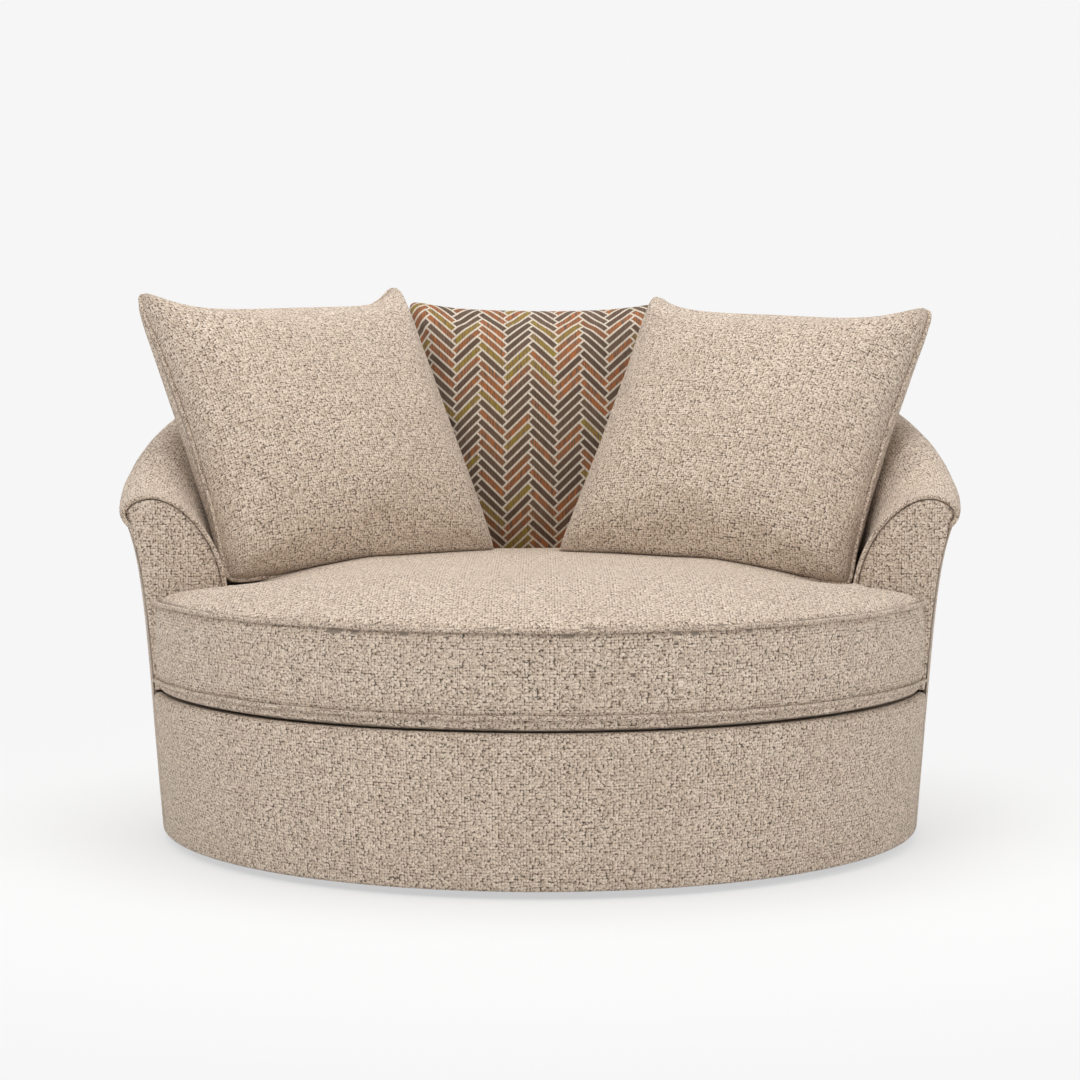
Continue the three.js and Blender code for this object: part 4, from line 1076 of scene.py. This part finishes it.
# Where a grid point of a panel lies: sides drawn in between the corners, except the one it stands on
def panelPoint(pillow, u, v, side, thickShare=1.0):
    half, pinch, flare = pillow["half"], pillow["pinch"], pillow["flare"]
    ear = pillow["ear"] * np.where(v > 0, 1, pillow["footEar"])
    shorter = 1 - ear * (u * v) ** stuffing["earPower"]
    top = np.where(v > 0, v * v, 0)
    rise = (pillow["rise"] * np.abs(u) ** 3 + pillow["lean"] * u) * top
    x = half * u * (1 - pinch * (1 - v * v) * u * u) * shorter
    y = half * v * (1 - pillow["sag"] * (1 - np.abs(u) ** flare) * top + rise) * shorter
    crown = np.maximum((1 - u * u) * (1 - v * v), 0) ** pillow["fullness"]
    return np.stack([x, y, side * thickShare * pillow["thick"] / 2 * crown], -1)


def makePillow(name, pillow, keepers):
    grid = np.sin(np.linspace(-rightAngle, rightAngle, stuffing["steps"] + 1))
    u, v = np.meshgrid(grid, grid, indexing="ij")
    share = stuffing["startShare"]
    matrix = pillowMatrix(pillow)
    front, back = (panelPoint(pillow, u, v, side, share) for side in (1, -1))
    cloth = np.stack([u * pillow["half"], v * pillow["half"]], -1) + pillow["shift"]
    piece, frontIndex, backIndex = twoSheetPiece(name + "_cushion", front, back, cloth)
    rim = np.zeros(frontIndex.shape, bool)
    rim[[0, -1], :] = True
    rim[:, [0, -1]] = True
    swell(piece, frontIndex[rim], stuffing["cap"], stuffing["extra"], pressure=stuffing["pressure"])
    local = coordsOf(piece)
    layPillowCloth(piece, local, frontIndex, backIndex, pillow["shift"])
    local += normalsOf(piece) * pillowWaves(local, pillow)[:, None]
    coords = turnedBy(matrix, recessPillowZip(local, pillow))
    for tree, gap in keepers:
        coords = keptOut(coords, tree, gap)
    moveTo(piece, coords)
    subdivided(piece)
    dress(piece, pillow["cloth"], pillow["body"], [name + "_cover", name + "_fibre_pad"])
    makePillowZip(name, pillow, matrix)
    if pillow["cloth"] == "tweed":
        ring = np.concatenate([frontIndex[:-1, 0], frontIndex[-1, :-1], frontIndex[1:, -1][::-1],
                               frontIndex[0, 1:][::-1]])
        makePillowPiping(name, coords, ring, matrix)
    return piece


def pillowWaves(local, pillow):  # soft bumps all over, and creases towards the side that it stands on
    low = smoothstep(*stuffing["creaseReach"], local[:, 1] / pillow["half"]) * stuffing["crease"]
    folds = wavy(local * np.array(stuffing["creaseStretch"]), stuffing["creaseSize"], pillow["shift"])
    bumps = stuffing["wave"] * wavy(local, stuffing["waveSize"], pillow["shift"])
    return bumps + low * np.minimum(folds, stuffing["creaseTop"])


# The panels are cut flat: their grain follows the lines through the middle
def layPillowCloth(piece, local, frontIndex, backIndex, shift):
    middle = frontIndex.shape[0] // 2
    acrossLine, upLine = along(local[frontIndex[:, middle]]), along(local[frontIndex[middle]])
    x, y = np.meshgrid(acrossLine - acrossLine[middle], upLine - upLine[middle], indexing="ij")
    cloth = np.zeros((len(local), 2))
    cloth[backIndex] = np.stack([x, y], -1) + shift + backCut
    cloth[frontIndex] = np.stack([x, y], -1) + shift
    layCloth(piece, cloth)


def makePillowPiping(name, coords, ring, matrix):
    path = coords[ring]
    middle = path.mean(axis=0)
    path = resampled(path, stuffing["pipingPoints"], closed=True)
    for _ in range(stuffing["pipingPasses"]):
        path = (np.roll(path, 1, axis=0) + 2 * path + np.roll(path, -1, axis=0)) / 4
    path += unitRows(path - middle) * stuffing["pipingOut"]
    bead = beadPiece(name + "_piping_bead", path, np.array(matrix)[:3, 2], loop=True)
    dress(bead, "piping", name)


# The zips low on the pillows' back panels
pillowZip = {"row": -0.7071, "rowStep": 0.02, "recess": 0.0025, "span": 0.8, "places": 120,
             "recessHeight": (0.030, 0.010), "fade": (0.04, 0.005), "front": 0.0008, "ridge": 0.002,
             "tapeOver": 1.02, "steps": 70, "teethOver": 1.01, "teeth": 130, "teethDepth": 0.0004,
             "tooth": (0.0007, 0.0020, 0.0007)}


def zipLine(pillow, u, depth, across=0.0):
    v = np.full_like(u, pillowZip["row"])
    step = pillowZip["rowStep"]
    line = panelPoint(pillow, u, v, -1)
    near = unitRows(panelPoint(pillow, u, v + step, -1) - panelPoint(pillow, u, v - step, -1))
    forward = unitRows(np.gradient(line, axis=0))
    outward = np.cross(near, forward)
    outward *= -np.sign(outward[:, 2])[:, None]
    return line - outward * depth + near * across, near, forward, outward


def recessPillowZip(local, pillow):
    span, places = pillowZip["span"], pillowZip["places"]
    line, near, _, outward = zipLine(pillow, np.linspace(-span, span, places + 1), pillowZip["recess"])
    u = np.clip(local[:, 0] / pillow["half"], -span, span)
    place = np.clip(((u + span) / (2 * span) * places).round().astype(int), 0, places)
    offset = local - line[place]
    across = (offset * near[place]).sum(axis=1)
    height = (offset * outward[place]).sum(axis=1)
    none, full = pillowZip["fade"]
    mask = smoothstep(*pillowZip["recessHeight"], np.abs(across)) * (local[:, 2] < 0)
    mask = mask * smoothstep(pillow["zip"] + none, pillow["zip"] + full, np.abs(local[:, 0]))
    drop = np.maximum(height, 0) * mask
    return local - outward[place] * drop[:, None]


def makePillowZip(name, pillow, matrix):
    ends = pillow["zip"] / pillow["half"]
    u = np.linspace(-ends, ends, pillowZip["steps"]) * pillowZip["tapeOver"]
    half, ridge, front = zipTape["half"], pillowZip["ridge"], pillowZip["front"]
    columns = [zipLine(pillow, u, front, w)[0] for w in (-half, -ridge, ridge, half)]
    columns += [zipLine(pillow, u, front + zipTape["thick"], w)[0] for w in (half, -half)]
    u = np.linspace(-ends, ends, pillowZip["teeth"]) * pillowZip["teethOver"]
    line, near, forward, _ = zipLine(pillow, u, pillowZip["teethDepth"])
    teeth = [turnedBy(matrix, boxAround(place, ahead, up, pillowZip["tooth"]))
             for place, up, ahead in zip(line, near, forward)]
    piece = zipPiece(name + "_zip_tape_and_teeth", turnedBy(matrix, np.stack(columns, 1)), teeth)
    dress(piece, "tape", pillow["body"], [name + "_zip_tape"])


# Deck under the seat cushion and lining under the drum
deck = {
    "front": 0.6285, "rear": 0.5255, "setback": 0.1515, "bottom": 0.2184, "top": 0.2448,
    "centre": (0, -0.25), "points": 420, "under": ((0.3, 0), (0.97, 0), (0.992, 0.003), (1, 0.010)),
    "shoulder": ((1, 0.010), (0.994, 0.003), (0.982, 0.0005), (0.96, 0)), "rim": (0.93, 0.75, 5),
    "seam": ((0.742, 0.0022), (0.738, 0.0026), (0.734, 0.0022)), "middle": (0.72, 0.1, 9), "cut": (9, 0),
}
lining = {"outer": 0.6052, "inner": 0.3205, "top": 0.0156, "thick": 0.0011, "sag": 0.0006, "ripple": 0.0002,
          "rippleSize": 0.05, "turns": 120, "rings": 14}


def makeDeck():
    arcs = rearAndFore(deck["rear"], deck["front"], deck["setback"])
    outline = resampled(np.vstack(arcs), deck["points"], closed=True)
    centre = np.array(deck["centre"])
    rings = [(share, deck["bottom"] + rise) for share, rise in deck["under"]]
    rings += [(share, deck["top"] - drop) for share, drop in deck["shoulder"]]
    rings += [(share, deck["top"]) for share in np.linspace(*deck["rim"])]
    rings += [(share, deck["top"] - drop) for share, drop in deck["seam"]]
    rings += [(share, deck["top"]) for share in np.linspace(*deck["middle"])]
    points = np.array([np.column_stack([centre + (outline - centre) * share, np.full(len(outline), z)])
                       for share, z in rings])
    piece = sweptPiece("seat_deck_pad_cloth", points, points[..., :2] + np.array(deck["cut"]))
    dress(piece, "deck", "chair", ["seat_deck_pad"])


def makeLining():
    turn = np.linspace(0, 2 * math.pi, lining["turns"], endpoint=False)
    radii = np.linspace(lining["inner"], lining["outer"], lining["rings"])
    flat = around(radii[:, None], turn[None], 0)
    slack = np.sin(math.pi * (radii - radii[0]) / (radii[-1] - radii[0]))[:, None]
    bumps = wavy(flat.reshape(-1, 3), lining["rippleSize"]).reshape(flat.shape[:2])
    top = flat.copy()
    top[..., 2] = lining["top"] - (lining["sag"] + lining["ripple"] * (1 + bumps)) * slack
    bottom = top.copy()
    bottom[..., 2] -= lining["thick"]
    points = np.concatenate([top, bottom[::-1]], 0).transpose(1, 0, 2)
    piece = sweptPiece("dust_cover_cloth", points, None, loop=True)
    dress(piece, "lining", "chair", ["dust_cover"])


makeOutsideCover()
makeFrontCover()
print("outside made")
insidePad = makeInsidePad()
for sideName, sideSign in (("left", -1), ("right", 1)):
    makeFacing(sideName, sideSign)
makeDeck()
makeLining()
print("arms, deck and lining made")
padTree = treeOf(insidePad)
seatPiece = makeSeatCushion(padTree)
print("seat cushion made")
keepers = [(treeOf(seatPiece), stuffing["seatGap"]), (padTree, stuffing["softGap"])]
for pillowName in ("left_pillow", "right_pillow", "scatter"):
    pillowPiece = makePillow(pillowName, pillows[pillowName], keepers)
    keepers.append((treeOf(pillowPiece), stuffing["softGap"]))
print("pillows made")


# Floor, backdrop and lamps
def makeFloor():
    half = backdrop["floorSize"] / 2
    mesh = bpy.data.meshes.new("floor")
    corners = [(x * half, y * half, 0) for x, y in ((-1, -1), (1, -1), (1, 1), (-1, 1))]
    mesh.from_pydata(corners, [], [(0, 1, 2, 3)])
    floor = bpy.data.objects.new("floor", mesh)
    stage.collection.objects.link(floor)
    finish = bpy.data.materials.new("floor")
    finish.use_nodes = True
    tree = finish.node_tree
    shader = tree.nodes["Principled BSDF"]
    shader.inputs["Base Color"].default_value = (backdrop["floor"],) * 3 + (1,)
    shader.inputs["Roughness"].default_value = 0.9
    start = Thread(tree)
    glow = start.node("ShaderNodeEmission", {}, {"Color": backdrop["seen"], "Strength": 1.0})
    distance = start.node("ShaderNodeTexCoord", {}, {}, "Object")
    distance = distance.node("ShaderNodeVectorMath", {"operation": "LENGTH"}, {0: distance}, 1)
    plain = backdrop["plainShare"]
    share = distance.between(*backdrop["shadowReach"]) * (1 - plain) + plain
    seen = start.node("ShaderNodeLightPath", {}, {}, "Is Camera Ray")
    lit = Thread(tree, shader.outputs[0])
    surface = start.node("ShaderNodeMixShader", {}, {0: share * seen, 1: lit, 2: glow})
    tree.links.new(surface.socket, tree.nodes["Material Output"].inputs["Surface"])
    mesh.materials.append(finish)


def lightScene():
    world = bpy.data.worlds.new("studio")
    stage.world = world
    world.use_nodes = True
    tree = world.node_tree
    tree.nodes.clear()
    start = Thread(tree)
    path = start.node("ShaderNodeLightPath", {}, {}, "Is Camera Ray")
    glossy = start.node("ShaderNodeLightPath", {}, {}, "Is Glossy Ray")
    through = start.node("ShaderNodeLightPath", {}, {}, "Is Transmission Ray")
    shown = (path + glossy + through) > 0.5
    ambient = start.node("ShaderNodeBackground", {}, {"Color": (1, 1, 1, 1), "Strength": backdrop["light"]})
    seen = start.node("ShaderNodeBackground", {}, {"Color": backdrop["seen"], "Strength": 1.0})
    surface = start.node("ShaderNodeMixShader", {}, {0: shown, 1: ambient, 2: seen})
    output = tree.nodes.new("ShaderNodeOutputWorld")
    tree.links.new(surface.socket, output.inputs["Surface"])
    for name, (place, target, size, watts) in lamps.items():
        lamp = bpy.data.lights.new(name, "AREA")
        lamp.shape = "DISK"
        lamp.size = size
        lamp.energy = watts
        made = bpy.data.objects.new(name, lamp)
        stage.collection.objects.link(made)
        made.location = place
        made.rotation_euler = (Vector(target) - Vector(place)).to_track_quat("-Z", "Y").to_euler()


makeFloor()
lightScene()
stage.view_settings.view_transform = "Standard"
print("scene ready")
